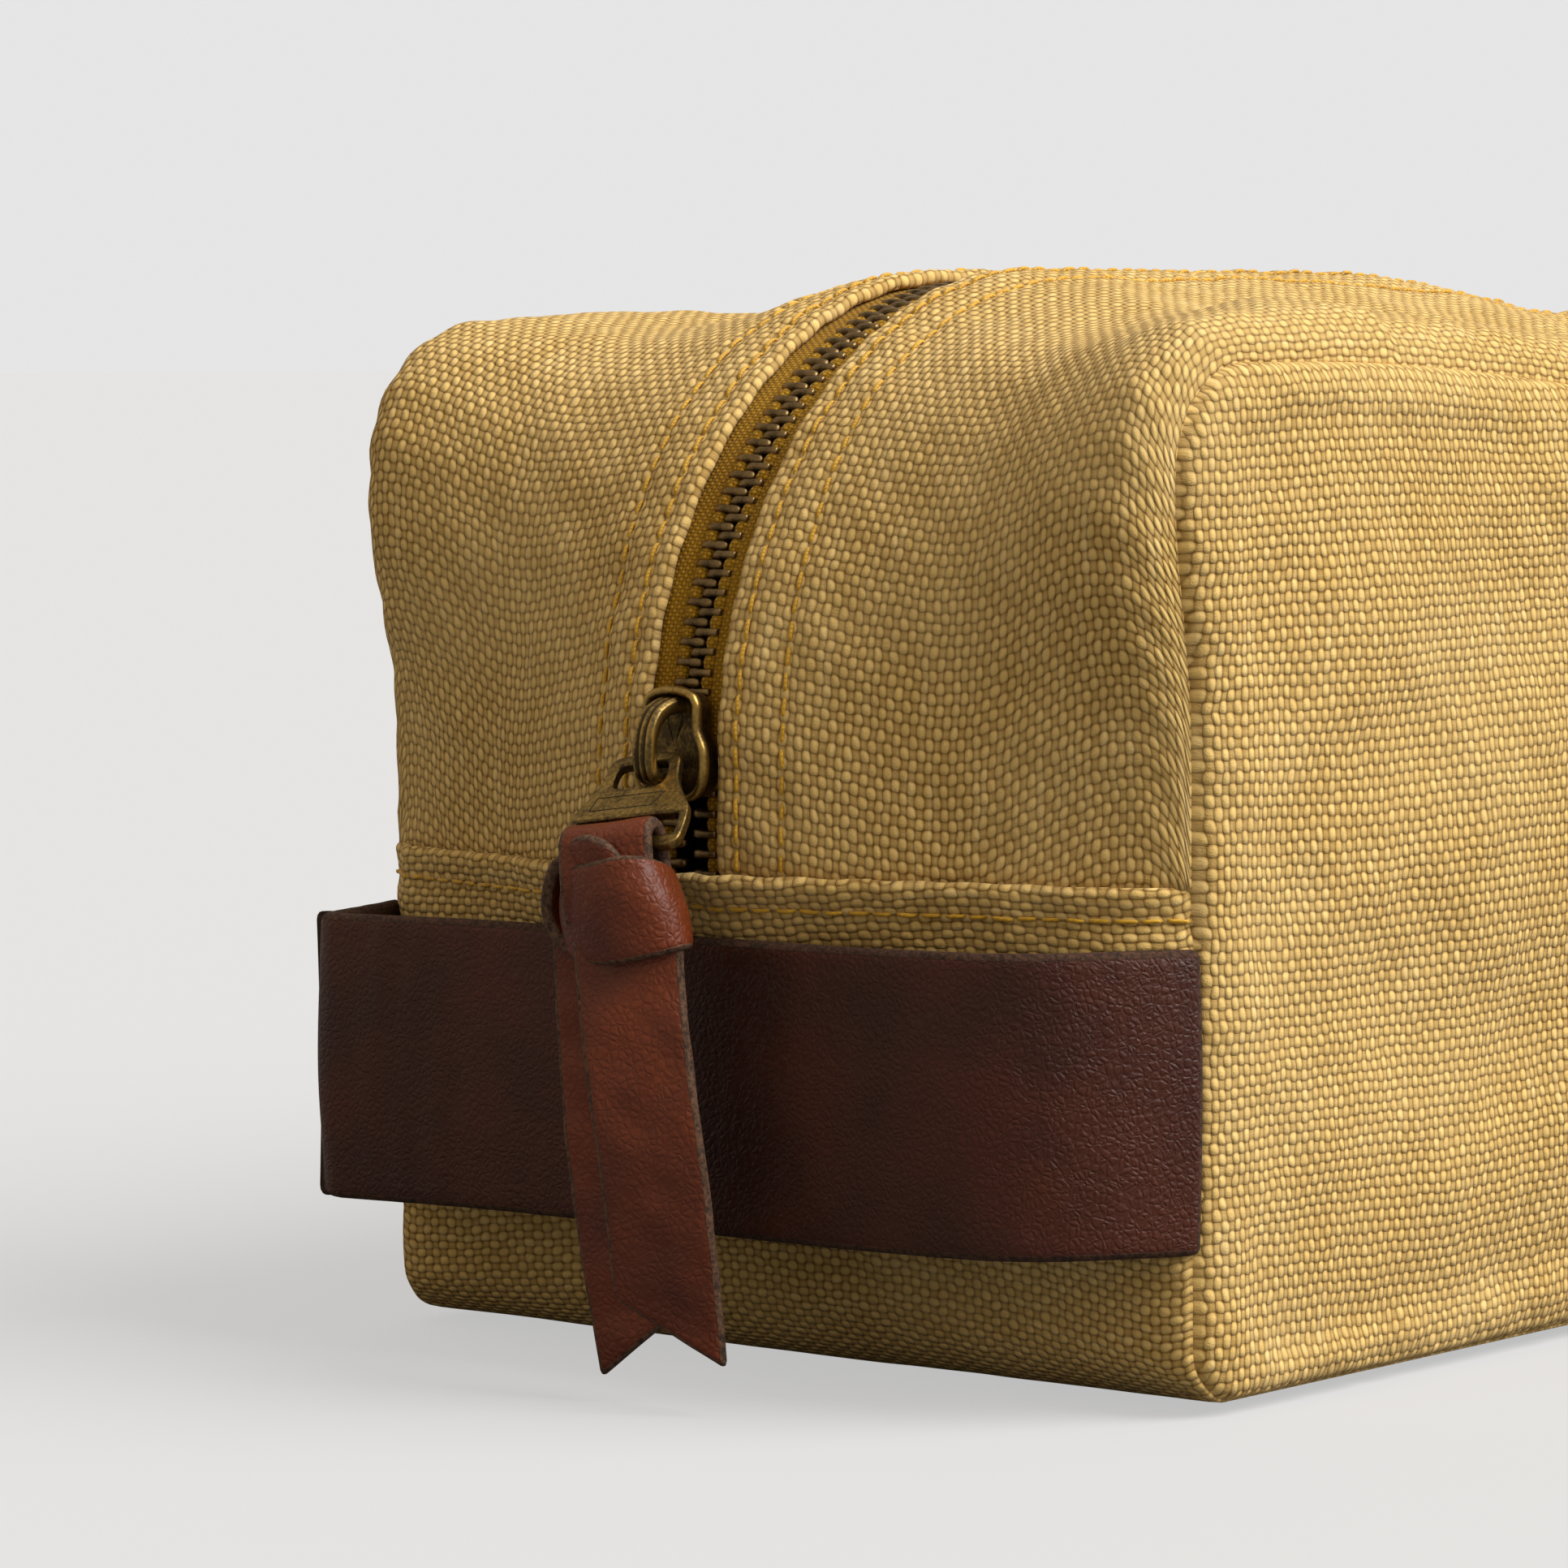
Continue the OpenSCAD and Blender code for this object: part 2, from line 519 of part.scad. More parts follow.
// ---------- pull tab ----------
// Its top bar lies inside the bridge and has slid to the rear
bar_at = [-1.9, -2.3, 6];
bar_r = 0.85;
tab_t = 1.4;
low_w = 8.1;                             // half width at the bottom
module tab_frame() on_bend(slider_rest) translate(bar_at)
    rotate([0, tab_turn, 0]) rotate([-tab_tilt, 0, 0]) rotate([0, 0, tab_swing]) children();
module pull_tab() color(antique_brass) tab_frame() {
    window_w = 7;
    difference() {
        translate([0, 0, -tab_t / 2]) linear_extrude(tab_t) polygon([[-3.7, 0.2], [3.7, 0.2],
            [4.7, -0.6], [5.2, -4.2], [low_w, -8.8], [low_w, -tab_l + 0.4],
            [low_w - 1.3, -tab_l - 0.9], [-low_w + 1.3, -tab_l - 0.9], [-low_w, -tab_l + 0.4],
            [-low_w, -8.8], [-5.2, -4.2], [-4.7, -0.6]]);
        translate([0, 0, -2]) linear_extrude(4) polygon([[-3.6, 1], [3.6, 1], [3.6, -3.6],
            [2.2, -5], [-2.2, -5], [-3.6, -3.6]]);
        translate([-window_w, -tab_l + 0.9, -2]) cube([2 * window_w, 4, 4]);
    }
    rotate([0, 90, 0]) cylinder(r = bar_r, h = 8.2, center = true, $fn = 24);
}

// ---------- leather pull ----------
// One strip: a loop round the tab's bottom bar, an overhand knot, two tails
loop_r = 1.4;
pull_off = -0.7;                         // the strap has slid along the bar
module pull_frame() tab_frame() translate([pull_off, -tab_l, 0]) rotate([tab_tilt, 0, 0]) children();
module tail(length, cut) translate([-pull_w / 2, -length, 0])
    linear_extrude(pull_t) polygon([[0, cut > 0 ? cut : 0], [pull_w, cut > 0 ? 0 : -cut],
        [pull_w, length], [0, length]]);
module leather_pull() color(red_leather) pull_frame() {
    wrap_r = loop_r + pull_t;
    rotate([0, 90, 0]) difference() {
        cylinder(r = wrap_r, h = pull_w, center = true, $fn = 32);
        cylinder(r = loop_r, h = pull_w + 1, center = true, $fn = 32);
        translate([-8, -8, -pull_w]) cube([16, 8, 2 * pull_w]);
    }
    for (z = [loop_r, -wrap_r]) translate([-pull_w / 2, -4.5, z]) cube([pull_w, 4.6, pull_t]);
    hull() {
        translate([0, -5, 0]) cube([12, 2.4, 6], center = true);
        translate([-1, -11, 0]) cube([16.5, 9, 8.4], center = true);
        translate([-2.6, -16.4, 0]) cube([12.5, 2, 5.6], center = true);
    }
    translate([-2.6, -15, -0.2]) rotate([0, 0, -2]) tail(45, 6.5);
    translate([-5.2, -15, -2.6]) rotate([0, 0, -4]) tail(47, -8);
}

front_panel();
rear_panel();
zip_gusset_front();
zip_gusset_rear();
bottom_gusset();
lining_front();
lining_rear();
lining_zip_front();
lining_zip_rear();
lining_bottom();
seam_binding_front();
seam_binding_rear();
inner_pocket();
handle_strap();
zip_tape_front();
zip_tape_rear();
zip_teeth_front();
zip_teeth_rear();
zip_top_stops();
zip_end_stop();
slider_body();
slider_bridge();
pull_tab();
leather_pull();
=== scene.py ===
import json
from math import cos, degrees, pi, radians, sin, sqrt

import bpy
import bmesh
import numpy as np
from mathutils import Matrix, Vector


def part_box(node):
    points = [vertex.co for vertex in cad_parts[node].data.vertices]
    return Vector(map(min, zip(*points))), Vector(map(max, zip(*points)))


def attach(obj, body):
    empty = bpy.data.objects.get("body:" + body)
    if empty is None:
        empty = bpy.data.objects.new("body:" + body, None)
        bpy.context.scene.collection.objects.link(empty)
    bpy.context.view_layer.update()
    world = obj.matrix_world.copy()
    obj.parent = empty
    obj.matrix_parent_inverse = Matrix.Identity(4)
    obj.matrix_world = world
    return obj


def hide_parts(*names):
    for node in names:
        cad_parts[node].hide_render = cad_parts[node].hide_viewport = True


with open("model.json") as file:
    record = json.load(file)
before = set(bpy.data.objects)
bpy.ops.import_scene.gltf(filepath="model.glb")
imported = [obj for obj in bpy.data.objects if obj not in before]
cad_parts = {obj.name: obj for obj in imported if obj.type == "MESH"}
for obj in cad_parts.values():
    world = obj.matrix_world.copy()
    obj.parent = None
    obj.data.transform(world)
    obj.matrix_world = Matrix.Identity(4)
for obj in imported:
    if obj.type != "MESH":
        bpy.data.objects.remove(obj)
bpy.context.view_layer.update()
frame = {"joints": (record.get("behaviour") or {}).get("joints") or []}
mm = 0.001
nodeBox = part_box

# ---- camera ----
view = {
    "from": (-0.7318, -0.5031, 0.1274),
    "to": (-0.1276, -0.0037, 0.0745),
    "roll": -0.34,
    "lens": 144.47,
}
cameraData = bpy.data.cameras.new("camera")
cameraData.lens = view["lens"]
cameraData.sensor_width = 36
cameraData.clip_start, cameraData.clip_end = 0.05, 200
camera = bpy.data.objects.new("camera", cameraData)
bpy.context.scene.collection.objects.link(camera)
aim = (Vector(view["to"]) - Vector(view["from"])).to_track_quat("-Z", "Y").to_matrix()
camera.matrix_world = (Matrix.Translation(view["from"])
                       @ (aim @ Matrix.Rotation(radians(view["roll"]), 3, "Z")).to_4x4())
bpy.context.scene.camera = camera

# ---- small maths ----
def smooth(t):
    t = np.clip(t, 0, 1)
    return t * t * (3 - 2 * t)


def hump(t):
    return np.where(np.abs(t) >= 1, 0, (1 + np.cos(pi * np.clip(t, -1, 1))) / 2)


def unit(v):
    return v / np.maximum(np.linalg.norm(v, axis=-1, keepdims=True), 1e-9)


def bell(t):
    return np.exp(-t * t)


def waves(u, v, length, seed, count=14, stretch=1.0):
    # an even random field from -1 to 1, its bumps about length apart
    r = np.random.default_rng(seed)
    total = 0
    for i in range(count):
        a, k, p = r.uniform(0, pi), 2 * pi / (length * r.uniform(0.7, 1.6)), r.uniform(0, 2 * pi)
        total = total + np.sin(k * (np.cos(a) * u * stretch + np.sin(a) * v) + p)
    return total / sqrt(count) / 1.2


def through(points, steps):
    # a smooth line through points, by centripetal spline
    p = np.array(points, float)
    p = np.vstack([2 * p[0] - p[1], p, 2 * p[-1] - p[-2]])
    out = []
    for i in range(1, len(p) - 2):
        a, b, c, d = p[i - 1:i + 3]
        for t in np.linspace(0, 1, steps, endpoint=False):
            out.append(0.5 * (2 * b + (c - a) * t + (2 * a - 5 * b + 4 * c - d) * t * t
                              + (3 * b - a - 3 * c + d) * t ** 3))
    return np.array(out + [p[-2]])


def lengthAlong(p, axis):
    d = np.linalg.norm(np.diff(p, axis=axis), axis=-1)
    zero = np.zeros_like(np.take(d, [0], axis=axis))
    return np.concatenate([zero, np.cumsum(d, axis=axis)], axis=axis)


# ---- meshes from grids of points, in millimetres ----
def meshPiece(name, points, faces, uv=None, marks=None, weld=0.0):
    mesh = bpy.data.meshes.new(name)
    mesh.from_pydata((np.asarray(points, float) * mm).tolist(), [], faces)
    for key, values in (marks or {}).items():
        mesh.attributes.new(key, "FLOAT", "POINT").data.foreach_set(
            "value", np.asarray(values, np.float32).ravel())
    if uv is not None:
        layer = mesh.uv_layers.new(name="cloth")
        index = np.zeros(len(mesh.loops), np.int32)
        mesh.loops.foreach_get("vertex_index", index)
        layer.data.foreach_set("uv", np.asarray(uv, np.float32)[index].ravel())
    if weld:
        bm = bmesh.new()
        bm.from_mesh(mesh)
        bmesh.ops.remove_doubles(bm, verts=bm.verts, dist=weld * mm)
        bm.to_mesh(mesh)
        bm.free()
    mesh.polygons.foreach_set("use_smooth", [True] * len(mesh.polygons))
    mesh.update()
    o = bpy.data.objects.new(name, mesh)
    bpy.context.scene.collection.objects.link(o)
    return o


def facesOut(o, inside=None):
    # turns a closed shell outwards
    bm = bmesh.new()
    bm.from_mesh(o.data)
    if bm.calc_volume(signed=True) < 0:
        bmesh.ops.reverse_faces(bm, faces=bm.faces)
    bm.to_mesh(o.data)
    bm.free()
    return o


def shellPiece(name, outer, inner, uv, marks=None, seg=3, roundRows=(True, True)):
    # a closed sheet between two grids, with a rounded rim all round
    n, m = outer.shape[:2]
    mid, half = (outer + inner) / 2, (outer - inner) / 2
    r = np.linalg.norm(half, axis=-1, keepdims=True)
    phis = [pi * (k + 1) / (seg + 1) for k in range(seg)]
    lastOut, firstOut = unit(mid[:, -1] - mid[:, -2]), unit(mid[:, 0] - mid[:, 1])
    rim = lambda j, t, p: mid[:, j] + half[:, j] * cos(p) + t * r[:, j] * sin(p)
    ring = np.stack([outer[:, j] for j in range(m)] + [rim(-1, lastOut, p) for p in phis]
                    + [inner[:, j] for j in range(m - 1, -1, -1)]
                    + [rim(0, firstOut, p) for p in reversed(phis)], axis=1)
    order = list(range(m)) + [m - 1] * seg + list(range(m - 1, -1, -1)) + [0] * seg
    midRing, rRing, uvRing = mid[:, order], r[:, order], uv[:, order].copy()
    edge = np.zeros(len(order))
    edge[m:m + seg], edge[2 * m + seg:] = 1, 1
    under = np.zeros(len(order))
    under[m + seg:2 * m + seg] = 1
    under[m:m + seg] = under[2 * m + seg:] = 0.5
    uvRing[:, m:m + seg, 0] += np.sin(phis)[None, :] * r[:, -1, :]
    uvRing[:, 2 * m + seg:, 0] -= np.sin(phis)[None, :] * r[:, 0, :]
    rings, uvs, cut = [ring], [uvRing], [np.broadcast_to(edge, (n, len(order)))]
    for end, nxt, wanted in ((0, 1, roundRows[0]), (-1, -2, roundRows[1])):
        if not wanted:
            continue
        out = unit(midRing[end] - midRing[nxt])
        for p in ([0.6, 0.95, 1.3] if end else [1.3, 0.95, 0.6]):
            extra = midRing[end] + (ring[end] - midRing[end]) * cos(p) + out * rRing[end] * sin(p)
            rings.insert(len(rings) if end else len(rings) - 1, extra[None])
            shifted = uvRing[end] + (uvRing[end] - uvRing[nxt]) * 0
            uvs.insert(len(uvs) if end else len(uvs) - 1, shifted[None])
            cut.insert(len(cut) if end else len(cut) - 1, np.ones((1, len(order))))
    g, t, c = np.concatenate(rings), np.concatenate(uvs), np.concatenate(cut)
    k, w = g.shape[:2]
    faces = [(i * w + j, i * w + (j + 1) % w, (i + 1) * w + (j + 1) % w, (i + 1) * w + j)
             for i in range(k - 1) for j in range(w)]
    for base, flip in ((0, True), ((k - 1) * w, False)):
        caps = [(j, j + 1, 2 * m + seg - 2 - j, 2 * m + seg - 1 - j) for j in range(m - 1)]
        caps += [tuple(range(m - 1, m + seg + 1)), tuple(list(range(2 * m + seg - 1, w)) + [0])]
        faces += [tuple(base + i for i in (reversed(f) if flip else f)) for f in caps]
    allMarks = {"cutEdge": c, "under": np.broadcast_to(under, (k, w))}
    for key, grid in (marks or {}).items():
        body = grid[:, order]
        pads = [body[:1]] * (3 if roundRows[0] else 0), [body[-1:]] * (3 if roundRows[1] else 0)
        allMarks[key] = np.concatenate([*pads[0], body, *pads[1]])
    return facesOut(meshPiece(name, g.reshape(-1, 3), faces, t.reshape(-1, 2), allMarks))


def ringPiece(name, rings, uv=None, marks=None, capStart=True, capEnd=True):
    # closed rings joined in order, with a centre point at each end
    g = np.asarray(rings, float)
    k, w = g.shape[:2]
    pts = g.reshape(-1, 3)
    faces = [(i * w + j, i * w + (j + 1) % w, (i + 1) * w + (j + 1) % w, (i + 1) * w + j)
             for i in range(k - 1) for j in range(w)]
    extra, uvs = [], None if uv is None else [np.asarray(uv, float).reshape(-1, 2)]
    for base, flip, wanted in ((0, True, capStart), ((k - 1) * w, False, capEnd)):
        if not wanted:
            continue
        c = len(pts) + len(extra)
        extra.append(g[0 if flip else -1].mean(0))
        if uvs is not None:
            uvs.append(np.asarray(uv, float)[0 if flip else -1].mean(0)[None])
        for j in range(w):
            f = (base + j, base + (j + 1) % w, c)
            faces.append(tuple(reversed(f)) if flip else f)
    pts = np.vstack([pts] + [e[None] for e in extra])
    grown = {key: np.concatenate([np.asarray(v, float).ravel(), np.zeros(len(extra))])
             for key, v in (marks or {}).items()}
    return facesOut(meshPiece(name, pts, faces, None if uvs is None else np.concatenate(uvs), grown))


def joined(name, pieces):
    # one object from several, keeping each one's materials
    for o in bpy.context.selected_objects:
        o.select_set(False)
    for o in pieces:
        o.select_set(True)
    bpy.context.view_layer.objects.active = pieces[0]
    if len(pieces) > 1:
        bpy.ops.object.join()
    pieces[0].name = name
    pieces[0].select_set(False)
    return pieces[0]


def finished(o, body, material=None, nodes=()):
    if material is not None:
        o.data.materials.clear()
        o.data.materials.append(material)
    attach(o, body)
    if nodes:
        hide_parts(*nodes)
    return o


# ---- shader helpers ----
def colour(r, g, b):
    line = lambda c: c / 12.92 if c <= 0.04045 else ((c + 0.055) / 1.055) ** 2.4
    return (line(r / 255), line(g / 255), line(b / 255), 1)


def put(tree, kind, inputs=None, **settings):
    n = tree.nodes.new(kind)
    for key, value in settings.items():
        setattr(n, key, value)
    for key, value in (inputs or {}).items():
        if isinstance(value, bpy.types.NodeSocket):
            tree.links.new(value, n.inputs[key])
        else:
            n.inputs[key].default_value = value
    return n


def calc(tree, operation, a, b=0.0, c=0.0):
    return put(tree, "ShaderNodeMath", {0: a, 1: b, 2: c}, operation=operation).outputs[0]


def blendColours(tree, factor, a, b):
    n = put(tree, "ShaderNodeMix", data_type="RGBA")
    for i, value in ((0, factor), (6, a), (7, b)):
        if isinstance(value, bpy.types.NodeSocket):
            tree.links.new(value, n.inputs[i])
        else:
            n.inputs[i].default_value = value
    return n.outputs[2]


def remap(tree, value, low, high, a=0.0, b=1.0):
    n = put(tree, "ShaderNodeMapRange", {0: value, 1: low, 2: high, 3: a, 4: b},
            interpolation_type="SMOOTHSTEP")
    return n.outputs[0]


def group(name, inputs, outputs):
    g = bpy.data.node_groups.new(name, "ShaderNodeTree")
    for label, kind, value in inputs:
        s = g.interface.new_socket(name=label, in_out="INPUT", socket_type=kind)
        if value is not None:
            s.default_value = value
    for label, kind in outputs:
        g.interface.new_socket(name=label, in_out="OUTPUT", socket_type=kind)
    return g, g.nodes.new("NodeGroupInput").outputs, g.nodes.new("NodeGroupOutput").inputs


def useGroup(tree, g, **values):
    n = tree.nodes.new("ShaderNodeGroup")
    n.node_tree = g
    for key, value in values.items():
        s = n.inputs[key]
        if isinstance(value, bpy.types.NodeSocket):
            tree.links.new(value, s)
        else:
            s.default_value = value
    return n.outputs


def material(name, **settings):
    m = bpy.data.materials.new(name)
    m.use_nodes = True
    shader = m.node_tree.nodes["Principled BSDF"]
    for key, value in settings.items():
        shader.inputs[key].default_value = value
    return m, m.node_tree, shader


def bumped(tree, height, distance, strength=1.0, normal=None):
    n = put(tree, "ShaderNodeBump", {"Strength": strength, "Distance": distance, "Height": height})
    if normal is not None:
        tree.links.new(normal, n.inputs["Normal"])
    return n.outputs[0]


# plain weave: rows of beads where the warp passes over, and the weft between them
def makeWeave():
    g, i, o = group("plainWeave",
                    [("Place", "NodeSocketVector", None), ("Across", "NodeSocketFloat", 0.75),
                     ("Along", "NodeSocketFloat", 0.7), ("Wander", "NodeSocketFloat", 0.12)],
                    [("Height", "NodeSocketFloat"), ("Crown", "NodeSocketFloat"),
                     ("Yarn", "NodeSocketFloat"), ("Slub", "NodeSocketFloat")])
    drift = put(g, "ShaderNodeTexNoise", {"Vector": i["Place"], "Scale": 0.22, "Detail": 2.0})
    shift = put(g, "ShaderNodeVectorMath", {0: drift.outputs["Color"], 1: (0.5, 0.5, 0.5)},
                operation="SUBTRACT")
    scaled = put(g, "ShaderNodeVectorMath", {0: shift.outputs[0]}, operation="SCALE")
    g.links.new(calc(g, "MULTIPLY", i["Wander"], 12.0), scaled.inputs["Scale"])
    moved = put(g, "ShaderNodeVectorMath", {0: i["Place"], 1: scaled.outputs[0]}, operation="ADD")
    part = put(g, "ShaderNodeSeparateXYZ", {0: moved.outputs[0]})
    a = calc(g, "MULTIPLY", calc(g, "DIVIDE", part.outputs[0], i["Across"]), 0.5)
    b = calc(g, "MULTIPLY", calc(g, "DIVIDE", part.outputs[1], i["Along"]), 0.5)

    def beads(acrossMove, alongMove, narrow, tall):
        # rounded crowns in every second cell, and a number for each cell
        am, bm = calc(g, "ADD", a, acrossMove), calc(g, "ADD", b, alongMove)
        x = calc(g, "MULTIPLY", calc(g, "SUBTRACT", calc(g, "FRACT", am), 0.5), narrow)
        y = calc(g, "MULTIPLY", calc(g, "SUBTRACT", calc(g, "FRACT", bm), 0.5), narrow)
        far = calc(g, "ADD", calc(g, "POWER", calc(g, "ABSOLUTE", x), 2.2),
                   calc(g, "POWER", calc(g, "ABSOLUTE", y), 2.2))
        cell = put(g, "ShaderNodeCombineXYZ",
                   {0: calc(g, "FLOOR", am), 1: calc(g, "FLOOR", bm), 2: acrossMove * 7})
        kind = put(g, "ShaderNodeTexWhiteNoise", {0: cell.outputs[0]}, noise_dimensions="3D")
        crown = calc(g, "MAXIMUM", calc(g, "SUBTRACT", 1.0, far), 0.0)
        return calc(g, "MULTIPLY", crown, tall), kind.outputs[0]

    first, firstTone = beads(0.0, 0.0, 2.8, 1.0)
    second, secondTone = beads(0.5, 0.5, 2.8, 1.0)
    under = calc(g, "MAXIMUM", beads(0.5, 0.0, 2.9, 0.5)[0], beads(0.0, 0.5, 2.9, 0.5)[0])
    bead = calc(g, "MAXIMUM", calc(g, "MAXIMUM", first, second), under)
    which = calc(g, "GREATER_THAN", second, first)
    shade = calc(g, "ADD", calc(g, "MULTIPLY", firstTone, calc(g, "SUBTRACT", 1.0, which)),
                 calc(g, "MULTIPLY", secondTone, which))
    fibre = put(g, "ShaderNodeTexNoise", {"Vector": moved.outputs[0], "Scale": 5.5, "Detail": 3.0})
    along = put(g, "ShaderNodeVectorMath", {0: moved.outputs[0], 1: (1.3, 0.07, 1)}, operation="MULTIPLY")
    slubs = put(g, "ShaderNodeTexNoise", {"Vector": along.outputs[0], "Scale": 1.0, "Detail": 2.0})
    lift = calc(g, "MULTIPLY", bead, calc(g, "ADD", 0.78, calc(g, "MULTIPLY", shade, 0.3)))
    rough = calc(g, "MULTIPLY", calc(g, "SUBTRACT", fibre.outputs[0], 0.5), 0.22)
    g.links.new(calc(g, "ADD", lift, rough), o["Height"])
    g.links.new(bead, o["Crown"])
    g.links.new(shade, o["Yarn"])
    g.links.new(slubs.outputs[0], o["Slub"])
    return g


# leather grain: small cells with fine creases, and slow mottling
def makeGrain():
    g, i, o = group("leatherGrain",
                    [("Place", "NodeSocketVector", None), ("Size", "NodeSocketFloat", 900.0),
                     ("Crease", "NodeSocketFloat", 0.5)],
                    [("Height", "NodeSocketFloat"), ("Pit", "NodeSocketFloat"),
                     ("Mottle", "NodeSocketFloat")])
    warped = put(g, "ShaderNodeTexNoise", {"Vector": i["Place"], "Scale": 300.0, "Detail": 2.0})
    off = put(g, "ShaderNodeVectorMath", {0: warped.outputs["Color"]}, operation="SCALE")
    off.inputs["Scale"].default_value = 0.0016
    place = put(g, "ShaderNodeVectorMath", {0: i["Place"], 1: off.outputs[0]}, operation="ADD")
    cells = put(g, "ShaderNodeTexVoronoi", {"Vector": place.outputs[0], "Scale": i["Size"],
                                            "Randomness": 1.0}, feature="DISTANCE_TO_EDGE")
    pit = remap(g, cells.outputs["Distance"], 0.0, 0.32)
    fine = put(g, "ShaderNodeTexNoise", {"Vector": i["Place"], "Scale": 1500.0, "Detail": 3.0})
    long = put(g, "ShaderNodeTexNoise", {"Vector": place.outputs[0], "Scale": 190.0, "Detail": 5.0,
                                         "Roughness": 0.65, "Distortion": 0.6})
    crease = remap(g, calc(g, "ABSOLUTE", calc(g, "SUBTRACT", long.outputs[0], 0.5)), 0.0, 0.06)
    mottle = put(g, "ShaderNodeTexNoise", {"Vector": i["Place"], "Scale": 55.0, "Detail": 4.0})
    total = calc(g, "ADD", calc(g, "MULTIPLY", pit, 0.6), calc(g, "MULTIPLY", fine.outputs[0], 0.35))
    total = calc(g, "ADD", total, calc(g, "MULTIPLY", crease, i["Crease"]))
    g.links.new(total, o["Height"])
    g.links.new(pit, o["Pit"])
    g.links.new(mottle.outputs[0], o["Mottle"])
    return g


weaveGroup, grainGroup = makeWeave(), makeGrain()


def clothUv(tree):
    return put(tree, "ShaderNodeUVMap", uv_map="cloth").outputs[0]


def mark(tree, name):
    return put(tree, "ShaderNodeAttribute", attribute_name=name).outputs["Fac"]


# the gap colour is painted shade in the hollows between the yarn beads; crown is the colour of the bead tops
canvasLook = {
    "crown": (222, 187, 114), "gap": (116, 78, 18), "slub": (230, 202, 142),
    "across": 1.05, "along": 1.4, "wander": 0.09, "depth": 0.55, "roughness": 0.95,
}


def makeCanvas(name, look, slubs=0.3):
    m, t, s = material(name, Roughness=look["roughness"])
    s.inputs["Sheen Weight"].default_value = 0.06
    s.inputs["Sheen Roughness"].default_value = 0.5
    s.inputs["Specular IOR Level"].default_value = 0.08
    w = useGroup(t, weaveGroup, Place=clothUv(t), Across=look["across"], Along=look["along"],
                 Wander=look["wander"])
    # painted shade: the weave's hollows take the darker gap colour and the bead tops the crown colour,
    # following bead height
    crown = remap(t, w["Crown"], 0.05, 0.8)
    base = blendColours(t, crown, colour(*look["gap"]), colour(*look["crown"]))
    light = calc(t, "MULTIPLY", remap(t, w["Slub"], 0.45, 0.75), calc(t, "MULTIPLY", crown, slubs + 0.35))
    base = blendColours(t, light, base, colour(*look["slub"]))
    tone = calc(t, "MULTIPLY", calc(t, "SUBTRACT", 1.0, w["Yarn"]), 0.22)
    base = blendColours(t, tone, base, colour(*look["gap"]))
    place = put(t, "ShaderNodeTexCoord").outputs["Object"]
    cloud = put(t, "ShaderNodeTexNoise", {"Vector": place, "Scale": 38.0, "Detail": 3.0})
    fade = calc(t, "MULTIPLY", remap(t, cloud.outputs[0], 0.35, 0.7), 0.16)
    base = blendColours(t, fade, base, colour(*look["slub"]))
    t.links.new(base, s.inputs["Base Color"])
    t.links.new(bumped(t, w["Height"], look["depth"] * mm), s.inputs["Normal"])
    return m


def makeLeather(name, skin, dark, edge, suede, rough, size, bump, crease=0.4, coat=0.0):
    m, t, s = material(name)
    s.inputs["Specular IOR Level"].default_value = 0.3
    if coat:
        s.inputs["Coat Weight"].default_value = coat
        s.inputs["Coat Roughness"].default_value = 0.3
    place = put(t, "ShaderNodeTexCoord").outputs["Object"]
    g = useGroup(t, grainGroup, Place=place, Size=size, Crease=crease)
    base = blendColours(t, remap(t, g["Mottle"], 0.3, 0.72), colour(*dark), colour(*skin))
    base = blendColours(t, calc(t, "MULTIPLY", calc(t, "SUBTRACT", 1.0, g["Pit"]), 0.3), base, colour(*dark))
    fuzz = put(t, "ShaderNodeTexNoise", {"Vector": place, "Scale": 1400.0, "Detail": 5.0,
                                         "Roughness": 0.7})
    under = remap(t, mark(t, "under"), 0.55, 0.9)
    back = blendColours(t, fuzz.outputs[0], colour(*[c * 0.55 for c in suede]), colour(*suede))
    base = blendColours(t, under, base, back)
    cutEdge = remap(t, mark(t, "cutEdge"), 0.35, 0.8)
    rim = blendColours(t, remap(t, fuzz.outputs[0], 0.35, 0.65), colour(*[c * 0.45 for c in edge]),
                       colour(*edge))
    base = blendColours(t, cutEdge, base, rim)
    t.links.new(base, s.inputs["Base Color"])
    raw = calc(t, "MAXIMUM", under, cutEdge)
    shine = calc(t, "ADD", rough, calc(t, "MULTIPLY", calc(t, "SUBTRACT", g["Mottle"], 0.5), 0.22))
    t.links.new(calc(t, "ADD", calc(t, "MULTIPLY", calc(t, "SUBTRACT", 1.0, raw), shine),
                     calc(t, "MULTIPLY", raw, 0.9)), s.inputs["Roughness"])
    h = calc(t, "ADD", calc(t, "MULTIPLY", g["Height"], calc(t, "SUBTRACT", 1.0, raw)),
             calc(t, "MULTIPLY", calc(t, "MULTIPLY", fuzz.outputs[0], raw), 2.2))
    t.links.new(bumped(t, h, bump * mm), s.inputs["Normal"])
    return m


